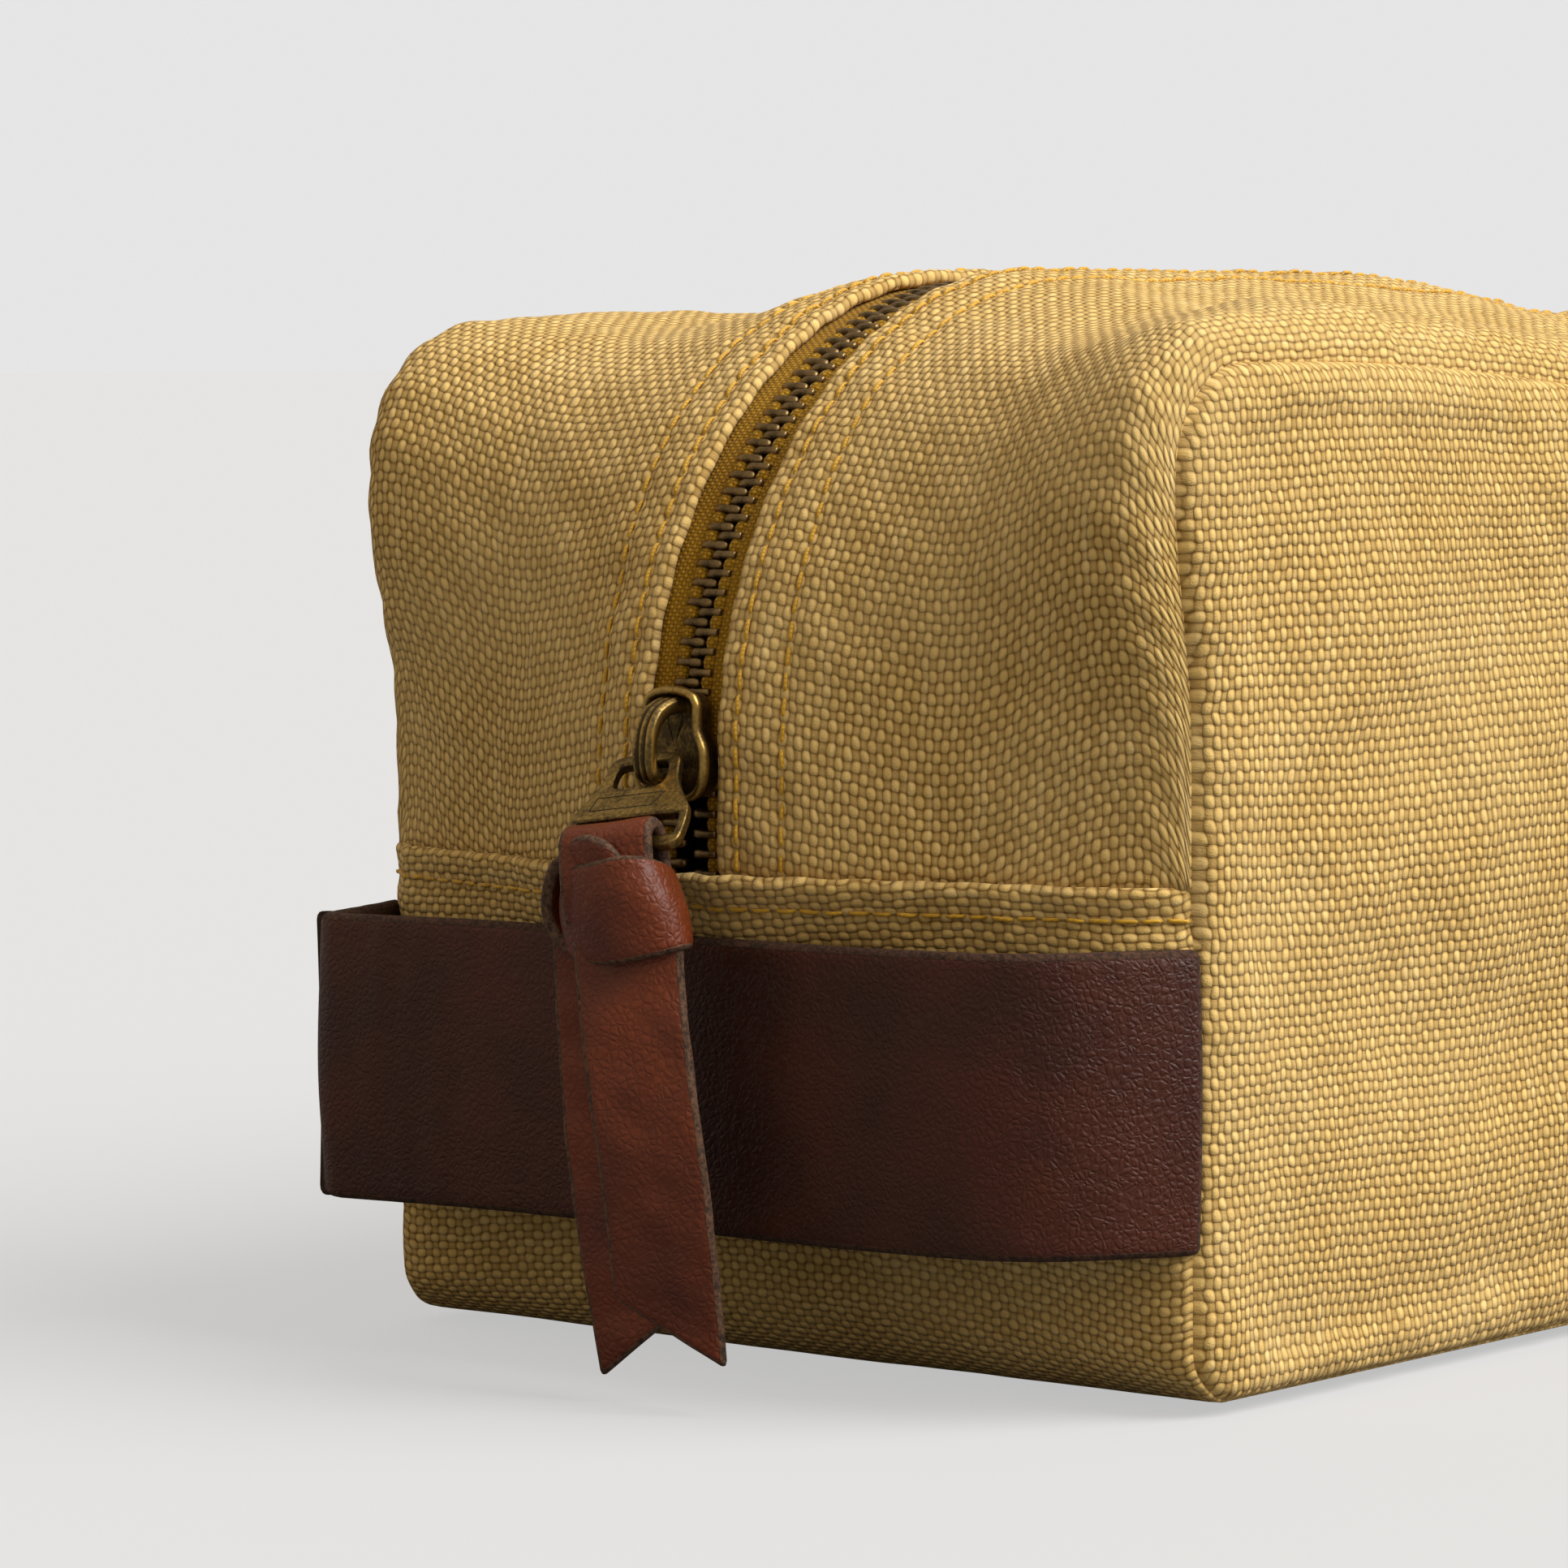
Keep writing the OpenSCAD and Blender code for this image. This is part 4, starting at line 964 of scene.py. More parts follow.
lineTree = alongTree()


def placedAlong(name, lines, shape, spacing, finish, wobble=0.05, change=0.05, seed=3):
    # lines: pairs of points and surface directions, in mm
    pts, ups, edges = [], [], []
    for p, up in lines:
        edges += [(len(pts) + k, len(pts) + k + 1) for k in range(len(p) - 1)]
        pts += list(np.asarray(p) * mm)
        ups += list(up)
    mesh = bpy.data.meshes.new(name + "Line")
    mesh.from_pydata([tuple(p) for p in pts], edges, [])
    up = mesh.attributes.new("up", "FLOAT_VECTOR", "POINT")
    up.data.foreach_set("vector", np.array(ups, np.float32).ravel())
    o = bpy.data.objects.new(name + "Line", mesh)
    bpy.context.scene.collection.objects.link(o)
    mod = o.modifiers.new("along", "NODES")
    mod.node_group = lineTree
    ids = {s.name: s.identifier for s in lineTree.interface.items_tree if s.in_out == "INPUT"}
    for key, value in (("Shape", shape), ("Spacing", spacing * mm), ("Turn", wobble), ("Size change", change),
                       ("Seed", seed), ("Finish", finish)):
        mod[ids[key]] = value
    bpy.context.view_layer.update()
    made = bpy.data.meshes.new_from_object(o.evaluated_get(bpy.context.evaluated_depsgraph_get()))
    made.name = name
    result = bpy.data.objects.new(name, made)
    bpy.context.scene.collection.objects.link(result)
    made.polygons.foreach_set("use_smooth", [True] * len(made.polygons))
    bpy.data.objects.remove(o)
    return result


stitch = {"length": 2.5, "thread": 0.3, "spacing": 3.2, "sink": 0.03}
xs = np.linspace(-stitch["length"] / 2 - 0.25, stitch["length"] / 2 + 0.25, 9)
phis = np.linspace(0, 2 * pi, 7, endpoint=False)
arch = stitch["thread"] * 0.9 * (1 - (np.abs(xs) / (stitch["length"] / 2 + 0.25)) ** 4 * 2.4) - stitch["sink"]
thick = stitch["thread"] * (0.72 + 0.28 * np.cos(xs / xs[-1] * pi / 2))
stitchShape = ringPiece("stitchShape", [[(x, np.cos(p) * w, h + np.sin(p) * w * 0.85) for p in phis]
                                        for x, h, w in zip(xs, arch, thick)])


lines = []
for outer, s, ys, side, label, _, nrm, uv in canvasParts:
    toFold = (edgeY - foldY) - s
    for rowAt in cloth["zipRows"]:
        k = int(np.argmin(np.abs(toFold - rowAt)))
        lines.append((outer[8:-8, k], nrm[8:-8, k]))
    o = placedAlong(f"topstitchZip{label.title()}", lines[-2:], stitchShape, stitch["spacing"], goldThread,
                    wobble=0.07, change=0.07, seed=5 + side)
    finished(o, "bag")
outer, nrm, ys, _, fromFold = lowerPart
lines = []
mid = fromFold[:, len(ys) // 2]
for rowAt in cloth["foldRows"]:
    for end in (0, 1):
        k = int(np.argmin(np.abs((mid[::-1] if end else mid)[:60] - rowAt)))
        k = len(mid) - 1 - k if end else k
        lines.append((outer[k, 2:-2], nrm[k, 2:-2]))
o = placedAlong("topstitchFold", lines, stitchShape, stitch["spacing"], goldThread,
                wobble=0.07, change=0.07, seed=9)
finished(o, "bag")
print("stitching")


# ---- teeth ----
def wearOf(o):
    # how far each vertex stands out from its neighbours, for the rubbed edges
    bm = bmesh.new()
    bm.from_mesh(o.data)
    bm.normal_update()
    values = []
    for v in bm.verts:
        others = [e.other_vert(v).co for e in v.link_edges]
        if not others:
            values.append(0.5)
            continue
        c = sum(others, Vector()) / len(others)
        size = sum((p - v.co).length for p in others) / len(others)
        values.append(0.5 + 1.1 * (v.co - c).dot(v.normal) / max(size, 1e-9))
    bm.free()
    a = o.data.attributes.get("wear") or o.data.attributes.new("wear", "FLOAT", "POINT")
    a.data.foreach_set("value", np.clip(values, 0, 1).astype(np.float32))
    return o


toothPlan = [(2.9, 0.44, 0.82), (2.75, 0.56, 1.0), (1.6, 0.56, 1.08), (0.8, 0.52, 1.02), (0.35, 0.62, 0.98),
             (-0.3, 0.66, 0.9), (-0.75, 0.56, 0.72), (-0.95, 0.34, 0.42)]
phis = np.linspace(0, 2 * pi, 10, endpoint=False)
bulgeX = lambda p: np.sign(np.cos(p)) * abs(np.cos(p)) ** 0.6
bulgeZ = lambda p: np.sign(np.sin(p)) * abs(np.sin(p)) ** 0.6
toothShape = ringPiece("toothShape", [[(bulgeX(p) * w, x, bulgeZ(p) * h) for p in phis]
                                      for x, w, h in toothPlan])
wearOf(toothShape)
count = int((chainLength - 10) // zipper["pitch"])
for label, side, first in (("front", -1, 4.0), ("rear", 1, 4.0 + zipper["pitch"] / 2)):
    last = first + (count - 1) * zipper["pitch"]
    fine = np.linspace(first - 0.001, last + 0.001, count * 6)
    p, d, out = chainFrame(fine)
    p[:, 1] = side * parting(fine)
    if side < 0:      # the other way round, so that each row's heads point to the middle
        p, out = p[::-1], out[::-1]
    o = placedAlong(f"zipTeeth{label.title()}", [(p, out)], toothShape, zipper["pitch"], darkBronze,
                    wobble=0.03, change=0.015, seed=14)
    finished(o, "bag", None, [f"zip_teeth_{label}"])
print("teeth")
for shape in (stitchShape, toothShape):
    bpy.data.objects.remove(shape)

# ---- slider: drawn with x across the zip, y up along it, z outwards ----
slider = {
    "length": 13.2, "flange": 5.35, "neck": 4.0, "bridge": 3.0,
}


def onSlider(p):
    p = np.asarray(p, float)
    x, y, z = -chainRadius - p[..., 2], -p[..., 0], p[..., 1]
    a = radians(zipper["sliderAngle"])
    return np.stack([-arcX + x * cos(a) + z * sin(a), y, arcZ - x * sin(a) + z * cos(a)], axis=-1)


def rounded(points, count, passes=3):
    p = np.array(points, float)
    for _ in range(passes):
        q = np.roll(p, -1, axis=0)
        p = np.stack([0.75 * p + 0.25 * q, 0.25 * p + 0.75 * q], axis=1).reshape(-1, p.shape[1])
    return evenRing(p, count)


def offsetRing(p, d):
    t = unit(np.roll(p, -1, axis=0) - np.roll(p, 1, axis=0))
    return p + np.stack([t[:, 1], -t[:, 0]], axis=1) * d


h, wide, neck = slider["length"] / 2, slider["flange"], slider["neck"]
plate = rounded([(-neck, h), (neck, h), (neck, 2.2), (neck + 0.25, 1.2), (wide, -0.6), (wide, -h + 2.2),
                 (wide - 1.2, -h + 0.5), (wide - 2.6, -h), (2.6 - wide, -h), (1.2 - wide, -h + 0.5),
                 (-wide, -h + 2.2), (-wide, -0.6), (-neck - 0.25, 1.2), (-neck, 2.2)], 96, 2)
if ((plate[:, 0] * np.roll(plate[:, 1], -1)) - np.roll(plate[:, 0], -1) * plate[:, 1]).sum() < 0:
    plate = plate[::-1]


def plateRings(steps):
    out = []
    for off, z in steps:
        q = offsetRing(plate, off)
        out.append(onSlider(np.column_stack([q, np.full(len(q), z)])))
    return out


upper = ringPiece("sliderUpper", plateRings([
    (-1.2, 0.8), (-0.5, 0.8), (-0.12, 0.95), (0, 1.3), (0, 2.6), (0.1, 3.0), (0.42, 3.35), (0.56, 3.8),
    (0.5, 4.25), (0.28, 4.58), (-0.02, 4.68), (-0.32, 4.56), (-0.52, 4.2), (-0.68, 3.8), (-0.95, 3.52),
    (-1.4, 3.4), (-2.0, 3.34), (-2.7, 3.3)]))
lower = ringPiece("sliderLower", plateRings([
    (-1.2, -2.75), (-0.5, -2.75), (-0.12, -2.6), (0, -2.3), (0, -1.2), (-0.12, -0.92), (-0.5, -0.8),
    (-1.2, -0.8)]))
wedge = rounded([(0, -2.4), (0.6, -3.6), (0.6, -h + 0.4), (-0.6, -h + 0.4), (-0.6, -3.6)], 20, 1)
post = ringPiece("sliderPost", [onSlider(np.column_stack([wedge, np.full(20, z)])) for z in (-1.4, 0, 1.4)])
sliderBody = wearOf(joined("sliderBody", [upper, lower, post]))
finished(sliderBody, "slider", antiqueBrass, ["slider_body"])

outerPath = through([(5.9, 3.0), (5.7, 4.6), (5.2, 6.3), (4.2, 8), (2.4, 9.25), (0, 9.75), (-2.5, 9.65),
                     (-4.2, 8.9), (-4.95, 7.3), (-5.05, 5.2), (-5.0, 3.0)], 9)
innerPath = through([(3.9, 3.0), (3.8, 4.6), (3.5, 5.8), (2.9, 6.7), (1.7, 7.7), (0, 8.15), (-2, 8.1),
                     (-3.1, 7.7), (-3.65, 6.8), (-3.7, 5.2), (-3.6, 3.0)], 9)
w = slider["bridge"] / 2
rings = []
for k, (o1, i1) in enumerate(zip(outerPath, innerPath)):
    out, size = unit(o1 - i1), np.linalg.norm(o1 - i1)
    section = []
    for x in np.linspace(-1, 1, 19):
        edge = 0.34 * (abs(x) ** 8)
        h2 = size - edge + 0.13 * cos(x * pi * 3.0) * (1 - abs(x) ** 6)
        section.append((x * w, h2))
    section += [(w * 1.03, size * 0.75), (w * 1.03, size * 0.3), (w * 0.9, 0.02)]
    section += [(x * w, 0.0) for x in (0.5, 0, -0.5)]
    section += [(-w * 0.9, 0.02), (-w * 1.03, size * 0.3), (-w * 1.03, size * 0.75)]
    rings.append(onSlider([(x, *(i1 + out * q)) for x, q in section]))
bridge = wearOf(ringPiece("sliderBridge", rings))
finished(bridge, "slider", antiqueBrass, ["slider_bridge"])
print("slider")

# ---- pull tab ----
tab = {
    "tilt": 46, "swing": 11.5, "turn": 8.5, "bar": (-1.9, -2.3, 6.0), "thick": 1.4, "length": 14.8,
    "lowHalf": 8.1, "windowHalf": 7.0, "engraving": 0.085,
}


def turnXYZ(axis, degree):
    return np.array(Matrix.Rotation(radians(degree), 3, axis))


def onTab(p):
    m = turnXYZ("Y", tab["turn"]) @ turnXYZ("X", -tab["tilt"]) @ turnXYZ("Z", tab["swing"])
    return onSlider(np.asarray(p, float) @ m.T + np.array(tab["bar"]))


def plateFromLines(name, loops, thick, bevel, count=(120, 60, 60)):
    data = bpy.data.curves.new(name, "CURVE")
    data.dimensions, data.fill_mode = "2D", "BOTH"
    data.extrude, data.bevel_depth, data.bevel_resolution = thick / 2 - bevel, bevel, 3
    data.offset = -bevel
    for loop in loops:
        sp = data.splines.new("POLY")
        sp.points.add(len(loop) - 1)
        for q, (x, y) in zip(sp.points, loop):
            q.co = (x, y, 0, 1)
        sp.use_cyclic_u = True
    o = bpy.data.objects.new(name, data)
    bpy.context.scene.collection.objects.link(o)
    bpy.context.view_layer.update()
    mesh = bpy.data.meshes.new_from_object(o.evaluated_get(bpy.context.evaluated_depsgraph_get()))
    bpy.data.objects.remove(o)
    co = np.array([v.co for v in mesh.vertices])
    flat = [tuple(p.vertices) for p in mesh.polygons]
    return co, flat


low, foot = tab["lowHalf"], -tab["length"]
outline = rounded([(-3.4, 0.95), (3.4, 0.95), (4.75, -0.1), (4.9, -2.0), (5.3, -4.4), (6.9, -7.4),
                   (low, -9.4), (low, foot + 0.6), (low - 0.8, foot - 0.7), (low - 2.2, foot - 1.0),
                   (2.2 - low, foot - 1.0), (0.8 - low, foot - 0.7), (-low, foot + 0.6), (-low, -9.4),
                   (-6.9, -7.4), (-5.3, -4.4), (-4.9, -2.0), (-4.75, -0.1)], 150, 2)
loopHole = rounded([(-2.9, -0.75), (2.9, -0.75), (3.45, -1.4), (3.55, -3.7), (3.0, -5.1), (-3.0, -5.1),
                    (-3.55, -3.7), (-3.45, -1.4)], 60, 2)
windowHalf = tab["windowHalf"]
window = rounded([(-windowHalf, foot + 4.6), (windowHalf - 0.4, foot + 4.6), (windowHalf, foot + 4.2),
                  (windowHalf, foot + 1.2), (windowHalf - 0.4, foot + 0.8),
                  (-windowHalf + 0.4, foot + 0.8), (-windowHalf, foot + 1.2),
                  (-windowHalf, foot + 4.2)], 60, 1)
co, flat = plateFromLines("tabPlate", [outline, loopHole, window], tab["thick"], 0.3)
tabPlate = meshPiece("tabPlate", onTab(co), flat, weld=0.002)
facesOut(tabPlate)
tabPlate.data.materials.append(antiqueBrass)
wearOf(tabPlate)
engravedFinish, engravedTree, engravedShader = material("engravedLine", Metallic=0.6, Roughness=0.7)
speck = put(engravedTree, "ShaderNodeTexNoise",
            {"Vector": put(engravedTree, "ShaderNodeTexCoord").outputs["Object"], "Scale": 900.0})
engravedTree.links.new(blendColours(engravedTree, speck.outputs[0], colour(18, 14, 9), colour(40, 32, 20)),
                       engravedShader.inputs["Base Color"])
frameLine = [(-5.0, -6.35), (4.1, -6.35), (2.7, -8.5), (-5.6, -8.5)]
phis = np.linspace(0, 2 * pi, 8, endpoint=False)
engraved = []
for a, b in zip(frameLine, frameLine[1:] + frameLine[:1]):
    a, b = np.array(a), np.array(b)
    t, e = unit(b - a), tab["engraving"]
    n = np.array([-t[1], t[0]])
    rings = [onTab([(*(q + n * cos(f) * e), tab["thick"] / 2 - 0.045 + sin(f) * e) for f in phis])
             for q in (a - t * e * 0.6, (a + b) / 2, b + t * e * 0.6)]
    engraved.append(ringPiece("engraved", rings))
    engraved[-1].data.materials.append(engravedFinish)
o = joined("pullTab", [tabPlate] + engraved)
finished(o, "tab", None, ["pull_tab"])
print("tab")

# ---- leather pull: a strip looped round the tab's bottom bar, knotted, with two tails ----
leather = {"width": 12.3, "thick": 1.9}
swing = next(j for j in frame["joints"] if j["name"] == "pull_swing")
barAt = np.array(swing["pos_m"]) / mm
barDir = np.array(swing["axis"]) * (-1 if swing["axis"][1] > 0 else 1)
barUp = unit(np.array([0, 0, 1]) - barDir * barDir[2])
barOut = unit(np.cross(barUp, barDir))
if barOut[0] > 0:
    barOut = -barOut
knotAt = barAt + np.array([0.6, -1.6, 0.0])


def upright(p):
    # x to the right seen from the end, y up, z outwards, from the bottom bar
    p = np.asarray(p, float)
    return knotAt + np.stack([-p[..., 2], -p[..., 0], p[..., 1]], axis=-1)


def strip(name, left, right, crown=0.0, steps=14, across=22, thick=None, lump=0.1, seed=1, flip=False,
          fade=None):
    # a band of leather between two edge lines in space
    t = (thick or leather["thick"]) / 2
    a, b = through(left, steps), through(right, steps)
    w = np.linspace(0, 1, across)
    mid = a[:, None] * (1 - w)[None, :, None] + b[:, None] * w[None, :, None]
    n = normalsOf(mid)
    if flip:
        n = -n
    u, v = lengthAlong(mid, 1), lengthAlong(mid, 0)
    bow = crown * (1 - (2 * w - 1) ** 2)[None] + lump * waves(u, v, 7, seed)
    mid = mid + n * bow[..., None]
    n = normalsOf(mid) * (-1 if flip else 1)
    return shellPiece(name, mid + n * t, mid - n * t, np.stack([u, v], -1), seg=5)


e = leather["width"] / 2
loopPath = [(-2.6, -9.5), (-2.55, -6), (-2.45, -3), (-2.35, 0), (-2.03, 1.2), (-1.17, 2.05), (0, 2.35),
            (1.17, 2.05), (2.03, 1.2), (2.4, 0), (2.9, -2.4), (3.2, -5), (3.0, -8)]
loopLeft = [barAt - barDir * e * 0.9 + barOut * f + barUp * g for f, g in loopPath]
loopRight = [barAt + barDir * e * 0.8 + barOut * f + barUp * g for f, g in loopPath]
parts = [strip("loop", loopLeft, loopRight, lump=0.08, seed=2)]


def knotBand(name, left, right, **how):
    parts.append(strip(name, upright(left), upright(right), **how))


knotBand("innerFlap",
         [(-8.6, -1.8, 1.0), (-6.6, -0.4, 3.2), (-3.0, 0.9, 4.5), (0.2, 0.2, 4.3), (2.0, -1.8, 3.2),
          (3.0, -4.4, 1.8)],
         [(-9.0, -7, 0.6), (-7.0, -7, 2.4), (-3.2, -6.5, 3.6), (0.3, -6.4, 3.4), (2.4, -7.2, 2.4),
          (3.4, -8.2, 1.2)],
         crown=0.2, seed=4, flip=True)
knotBand("sideTurn",
         [(-4.4, -0.6, 2.6), (-6.7, -1.4, 3.0), (-8.6, -2.4, 3.2), (-9.8, -4.4, 3.2), (-10.4, -7.2, 3.1),
          (-10.0, -9.4, 3.0), (-8.5, -11.4, 2.8), (-6.0, -12.6, 2.4), (-3.2, -12.9, 2.0)],
         [(-4.4, -1.0, -5.2), (-6.5, -1.6, -5.4), (-8.2, -2.7, -5.5), (-9.3, -4.6, -5.6),
          (-9.8, -7.2, -5.6), (-9.5, -9.2, -5.5), (-8.1, -11.0, -5.3), (-5.8, -12.2, -5),
          (-3.2, -12.5, -4.8)],
         seed=6, across=16)
knotBand("frontTurn",
         [(2.8, -3.6, -4.0), (4.2, -2.8, -1.8), (4.6, -2.0, 0.8), (3.9, -1.4, 3.0), (1.8, -1.5, 4.4),
          (-1.0, -2.2, 5.0), (-4.2, -2.8, 4.7), (-6.5, -3.2, 3.8), (-7.6, -3.6, 1.8), (-7.5, -4.0, -2)],
         [(5.4, -11.4, -4.0), (7.2, -11.2, -2.0), (8.2, -11.1, 0.2), (7.6, -11.4, 2.0), (5.4, -12.0, 3.6),
          (1.8, -12.7, 4.6), (-2.4, -13.0, 4.4), (-5.8, -12.4, 3.4), (-7.4, -11.2, 1.4), (-7.3, -10.4, -2)],
         crown=0.4, lump=0.1, seed=8, across=28)
knotBand("backTurn",
         [(3.4, -3.6, -0.8), (2.4, -3.4, -3.8), (-1, -3.0, -4.9), (-5.6, -3.4, -4.4), (-7.0, -3.8, -1.6)],
         [(6.4, -10.8, -1.2), (5.0, -11.2, -3.8), (-1, -12.0, -4.9), (-5.6, -11.2, -4.4),
          (-7.0, -10.4, -1.6)],
         crown=-0.4, seed=10, flip=True)
aroundHeart = 28
heart = [[upright((cos(f) * 5.0 * c - 1.4, y, sin(f) * 3.1 * c))
          for f in np.linspace(0, 2 * pi, aroundHeart, endpoint=False)]
         for y, c in ((-2.6, 0.55), (-3.6, 0.85), (-6, 1), (-9, 1), (-11.2, 0.88), (-12.2, 0.6))]
parts.append(ringPiece("heart", heart, marks={"under": np.ones(len(heart) * aroundHeart),
                                                   "cutEdge": np.zeros(len(heart) * aroundHeart)}))


def tailOf(name, centres, edgeDir, cutLeft, cutRight, seed, lump=0.12, crown=0.15, flip=False):
    line = through(centres, 14)
    d = unit(np.array(edgeDir, float)) * e
    t = np.linspace(0, 1, len(line))[:, None]
    near = smooth((t - 0.55) / 0.45)
    way = unit(line[-1] - line[-4])
    left = line - d + way * cutLeft * near
    right = line + d + way * cutRight * near
    return strip(name, upright(left), upright(right), crown=crown, steps=2, lump=lump, seed=seed, flip=flip,
                 across=20)


parts.append(tailOf("frontTail",
                    [(1.9, -11.6, 2.4), (2.2, -14.5, 2.6), (3.6, -21, 3.4), (5.4, -30, 3.9),
                     (6.9, -39, 3.8), (7.7, -48, 3.2), (8.1, -57.4, 2.4)],
                    (0.93, -0.06, -0.33), -3.3, 3.2, 12))
parts.append(tailOf("rearTail",
                    [(-4.4, -11, -0.8), (-4.2, -14.5, -0.9), (-3.6, -24, -0.8), (-2.6, -36, -0.9),
                     (-1.2, -48, -1.4), (0.6, -59.2, -2.0)],
                    (0.93, 0.04, -0.33), 4.4, -4.2, 16, lump=0.2))
for o in parts:
    o.data.materials.append(pullLeather)
pull = joined("leatherPull", parts)
finished(pull, "pull", None, ["leather_pull"])
print("leather pull")

# ---- stops ----
for name, ends in (("zipTopStops", (-1, 1)), ("zipEndStop", (0,))):
    l = 2.0 if name == "zipTopStops" else chainLength - 3
    p, d, out = (v[0] for v in chainFrame([l]))
    made = []
    for side in ends:
        wide, tall, mid = (1.25, 1.25, side * 3.3) if side else (2.7, 1.35, 0)
        shape = rounded([(-wide, -1.0), (wide, -1.0), (wide, 1.0), (-wide, 1.0)], 28, 2)
        rings = []
        for c, z in ((0.7, -tall), (0.92, -tall + 0.25), (1, -tall + 0.6), (1, tall - 0.6),
                     (0.92, tall - 0.2), (0.7, tall)):
            rings.append([p + np.array([0, mid + q[0] * c, 0]) + d * q[1] * c + out * z for q in shape])
        made.append(ringPiece(name, rings))
    o = wearOf(joined(name, made))
    finished(o, "bag", darkBronze, ["zip_top_stops" if ends[0] else "zip_end_stop"])

# ---- inside: lining, bound seams and slip pocket ----
inside = {"lining": 0.5, "clear": 0.4, "pocketHem": 8.0}
for label, side in (("front", -1), ("rear", 1)):
    ys = -np.concatenate([np.arange(60.2, 16, -2.2), [15, 12, 9.2]])
    rows = overRows(foldZ + 1.5, 5, 30, 30)
    g = surface(rows, ys)
    if side > 0:
        g = g * np.array([1, -1, 1])
    nrm = normalsOf(g)
    if nrm[len(rows) // 2, -1, 2] < 0:
        nrm = -nrm
    uv = clothGrid(g, len(rows) // 2, len(ys) - 1)
    deep = np.where(np.abs(ys) < 16, 3.2, 1.5)[None] + 0.15 * waves(uv[..., 0], uv[..., 1], 22, 41)
    o = shellPiece(f"liningZip{label.title()}", g - nrm * deep[..., None],
                   g - nrm * (deep + inside["lining"])[..., None], uv, seg=1)
    finished(o, "bag", liningCloth, [f"lining_zip_{label}"])
    fs = np.linspace(0.03, 1, 26)
    p = centre + (ring - centre)[None, ::3] * fs[:, None, None] * 0.9
    out = bag["belly"] * (1 - fs[:, None] ** 3) + 0.2 * waves(p[..., 0], p[..., 1], 30, 43)
    y = side * (edgeY - 1.5 - inside["clear"] + out * 0.9)
    front = np.stack([p[..., 0], y + side * inside["lining"], p[..., 1]], -1)
    back = np.stack([p[..., 0], y, p[..., 1]], -1)
    o = ringPiece(f"lining{label.title()}", np.concatenate([front, back[::-1]]),
                  np.concatenate([front, back[::-1]])[..., [0, 2]])
    finished(o, "bag", liningCloth, [f"lining_{label}"])
    # binding folded over the raw edge, with a slightly wavy line
    longWay, roundWay = 300, 14
    boundEdge = evenRing(panelOutline(60), longWay)
    boundEdge[:, 1] = sagged(boundEdge[:, 0], boundEdge[:, 1], seamSag(boundEdge[:, 0]))
    boundAlong = lengthAlong(boundEdge, 0)
    section = rounded([(0.93, -2.55), (0.93, -4.85), (0.86, -4.85), (0.86, -2.55)], roundWay, 2)
    rings = np.zeros((longWay, roundWay, 3))
    for k, (f, y) in enumerate(section):
        q = centre + (boundEdge - centre) * (f + 0.002 * waves(boundAlong, 0 * boundAlong, 15, 51)[:, None])
        rings[:, k] = np.column_stack([q[:, 0], np.full(longWay, side * (edgeY + y + 0.3)), q[:, 1]])
    faces = []
    for i in range(longWay):
        here, beyond = i * roundWay, (i + 1) % longWay * roundWay
        for j in range(roundWay):
            k = (j + 1) % roundWay
            faces.append((here + j, here + k, beyond + k, beyond + j))
    uvs = np.stack([np.broadcast_to(np.arange(roundWay) * 1.2, (longWay, roundWay)),
                    np.broadcast_to(boundAlong[:, None], (longWay, roundWay))], -1)
    o = facesOut(meshPiece(f"seamBinding{label.title()}", rings.reshape(-1, 3), faces, uvs.reshape(-1, 2)))
    finished(o, "bag", bindingCloth, [f"seam_binding_{label}"])

ys = np.arange(-60.2, 60.3, 2.4)
rows = underRows(24, 8, 50, foldZ - 12)
g = surface(rows, ys)
nrm = normalsOf(g)
if nrm[len(rows) // 2, len(ys) // 2, 2] > 0:
    nrm = -nrm
uv = clothGrid(g, len(rows) // 2, len(ys) // 2)
deep = 1.5 + 0.15 * waves(uv[..., 0], uv[..., 1], 25, 45)
o = shellPiece("liningBottom", g - nrm * deep[..., None],
               g - nrm * (deep + inside["lining"])[..., None], uv, seg=1)
finished(o, "bag", liningCloth, ["lining_bottom"])

lowCorner, highCorner = (np.array(c) / mm for c in nodeBox("inner_pocket"))
x = np.linspace(lowCorner[0], highCorner[0], 60)
loops = []
for f in np.linspace(0, 1, 34):
    z = lowCorner[2] + f * (highCorner[2] - lowCorner[2])
    gape = 2.6 * (0.25 + 0.75 * np.sqrt(f)) * np.sin(pi * np.clip((x - x[0]) / (x[-1] - x[0]), 0, 1)) ** 0.6
    y = (lowCorner[1] + highCorner[1]) / 2 - gape
    hemmed = 0.35 if f > 1 - inside["pocketHem"] / 62 else 0
    loops.append(np.column_stack([x, y - hemmed, np.full(60, z)]))
face = np.array(loops)
away = np.array([0, 0.7, 0])
uv = face[..., [0, 2]]
pocketFace = shellPiece("pocketFront", face, face + away, uv, seg=1)
flatBack = face.copy()
flatBack[..., 1] = highCorner[1] - 0.8
pocketRear = shellPiece("pocketBack", flatBack, flatBack + away, uv, seg=1)
for o in (pocketFace, pocketRear):
    o.data.materials.append(liningCloth)
pocket = joined("innerPocket", [pocketFace, pocketRear])
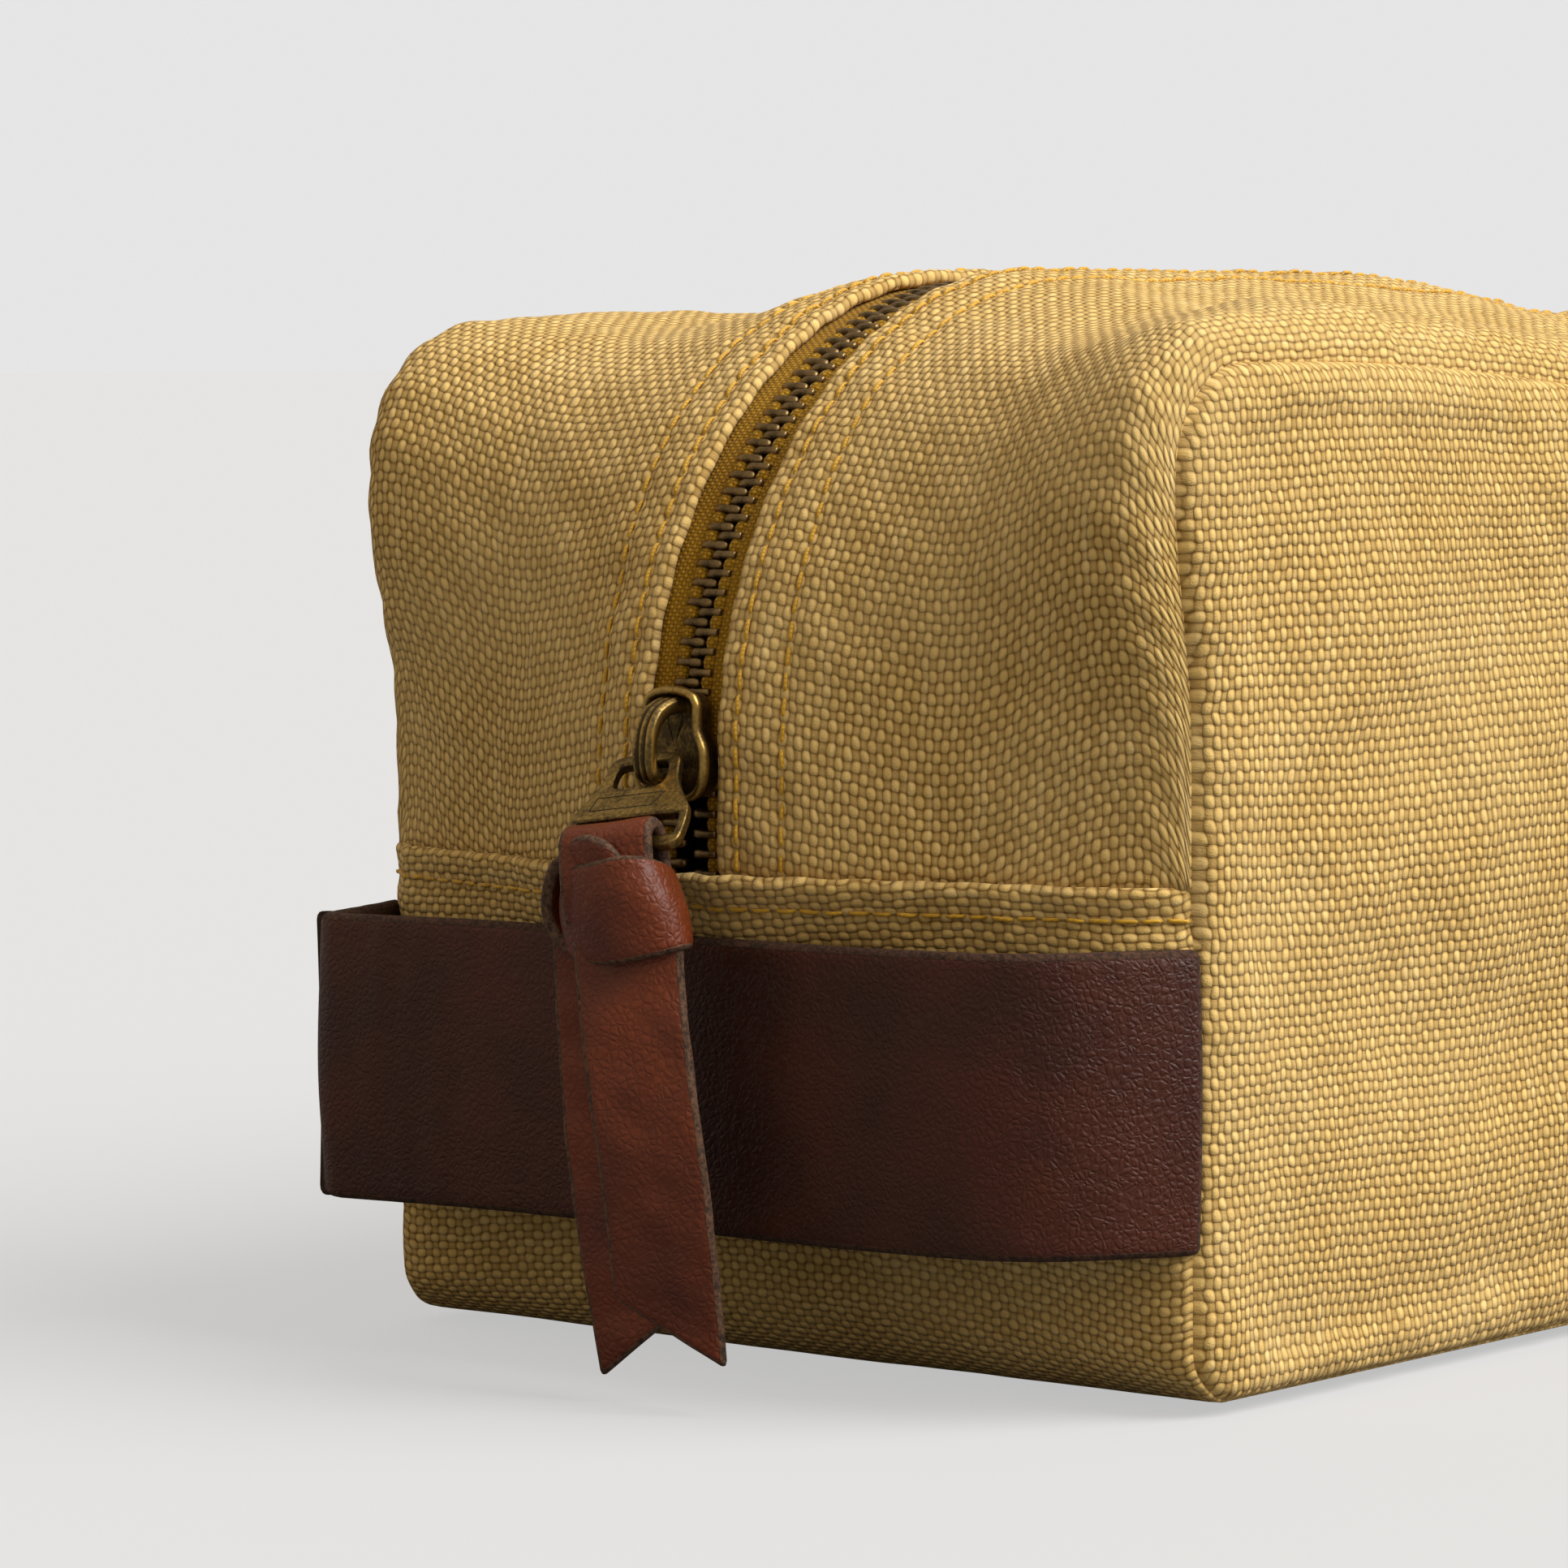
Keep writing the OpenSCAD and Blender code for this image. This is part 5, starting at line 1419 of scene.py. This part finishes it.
finished(pocket, "bag", None, ["inner_pocket"])
print("inside")

# ---- floor and light ----
look = {"backdrop": 0.788, "ambient": 0.56, "tint": (1.0, 0.88, 0.72), "key": 4.7, "keySoftness": 50,
        "keyFrom": (0.30, -0.66, 0.70), "floorLift": 0.51, "floorShade": 0.175}
scene = bpy.context.scene
scene.view_settings.view_transform = "Standard"
floorMat, floorTree, floorShader = material("paleFloor", Roughness=0.9)
floorShader.inputs["Specular IOR Level"].default_value = 0.0
floorShader.inputs["Base Color"].default_value = (*[look["floorShade"]] * 3, 1)
floorShader.inputs["Emission Color"].default_value = (1, 1, 1, 1)
seenBy = put(floorTree, "ShaderNodeLightPath")
floorTree.links.new(calc(floorTree, "MULTIPLY", seenBy.outputs["Is Camera Ray"], look["floorLift"]),
                    floorShader.inputs["Emission Strength"])
size = 60.0
mesh = bpy.data.meshes.new("floor")
mesh.from_pydata([(-size, -size, 0), (size, -size, 0), (size, size, 0), (-size, size, 0)], [], [(0, 1, 2, 3)])
floor = bpy.data.objects.new("floor", mesh)
scene.collection.objects.link(floor)
mesh.materials.append(floorMat)

world = bpy.data.worlds.new("studio")
scene.world = world
world.use_nodes = True
worldTree = world.node_tree
worldTree.nodes.clear()
path = worldTree.nodes.new("ShaderNodeLightPath")
soft = put(worldTree, "ShaderNodeBackground", {"Color": (*look["tint"], 1), "Strength": look["ambient"]})
seen = put(worldTree, "ShaderNodeBackground", {"Color": (1, 1, 1, 1), "Strength": look["backdrop"]})
both = put(worldTree, "ShaderNodeMixShader",
           {0: path.outputs["Is Camera Ray"], 1: soft.outputs[0], 2: seen.outputs[0]})
worldTree.links.new(both.outputs[0], worldTree.nodes.new("ShaderNodeOutputWorld").inputs[0])

sunData = bpy.data.lights.new("key", "SUN")
sunData.energy, sunData.angle = look["key"], radians(look["keySoftness"])
sun = bpy.data.objects.new("key", sunData)
scene.collection.objects.link(sun)
sun.rotation_euler = Vector(look["keyFrom"]).to_track_quat("Z", "Y").to_euler()
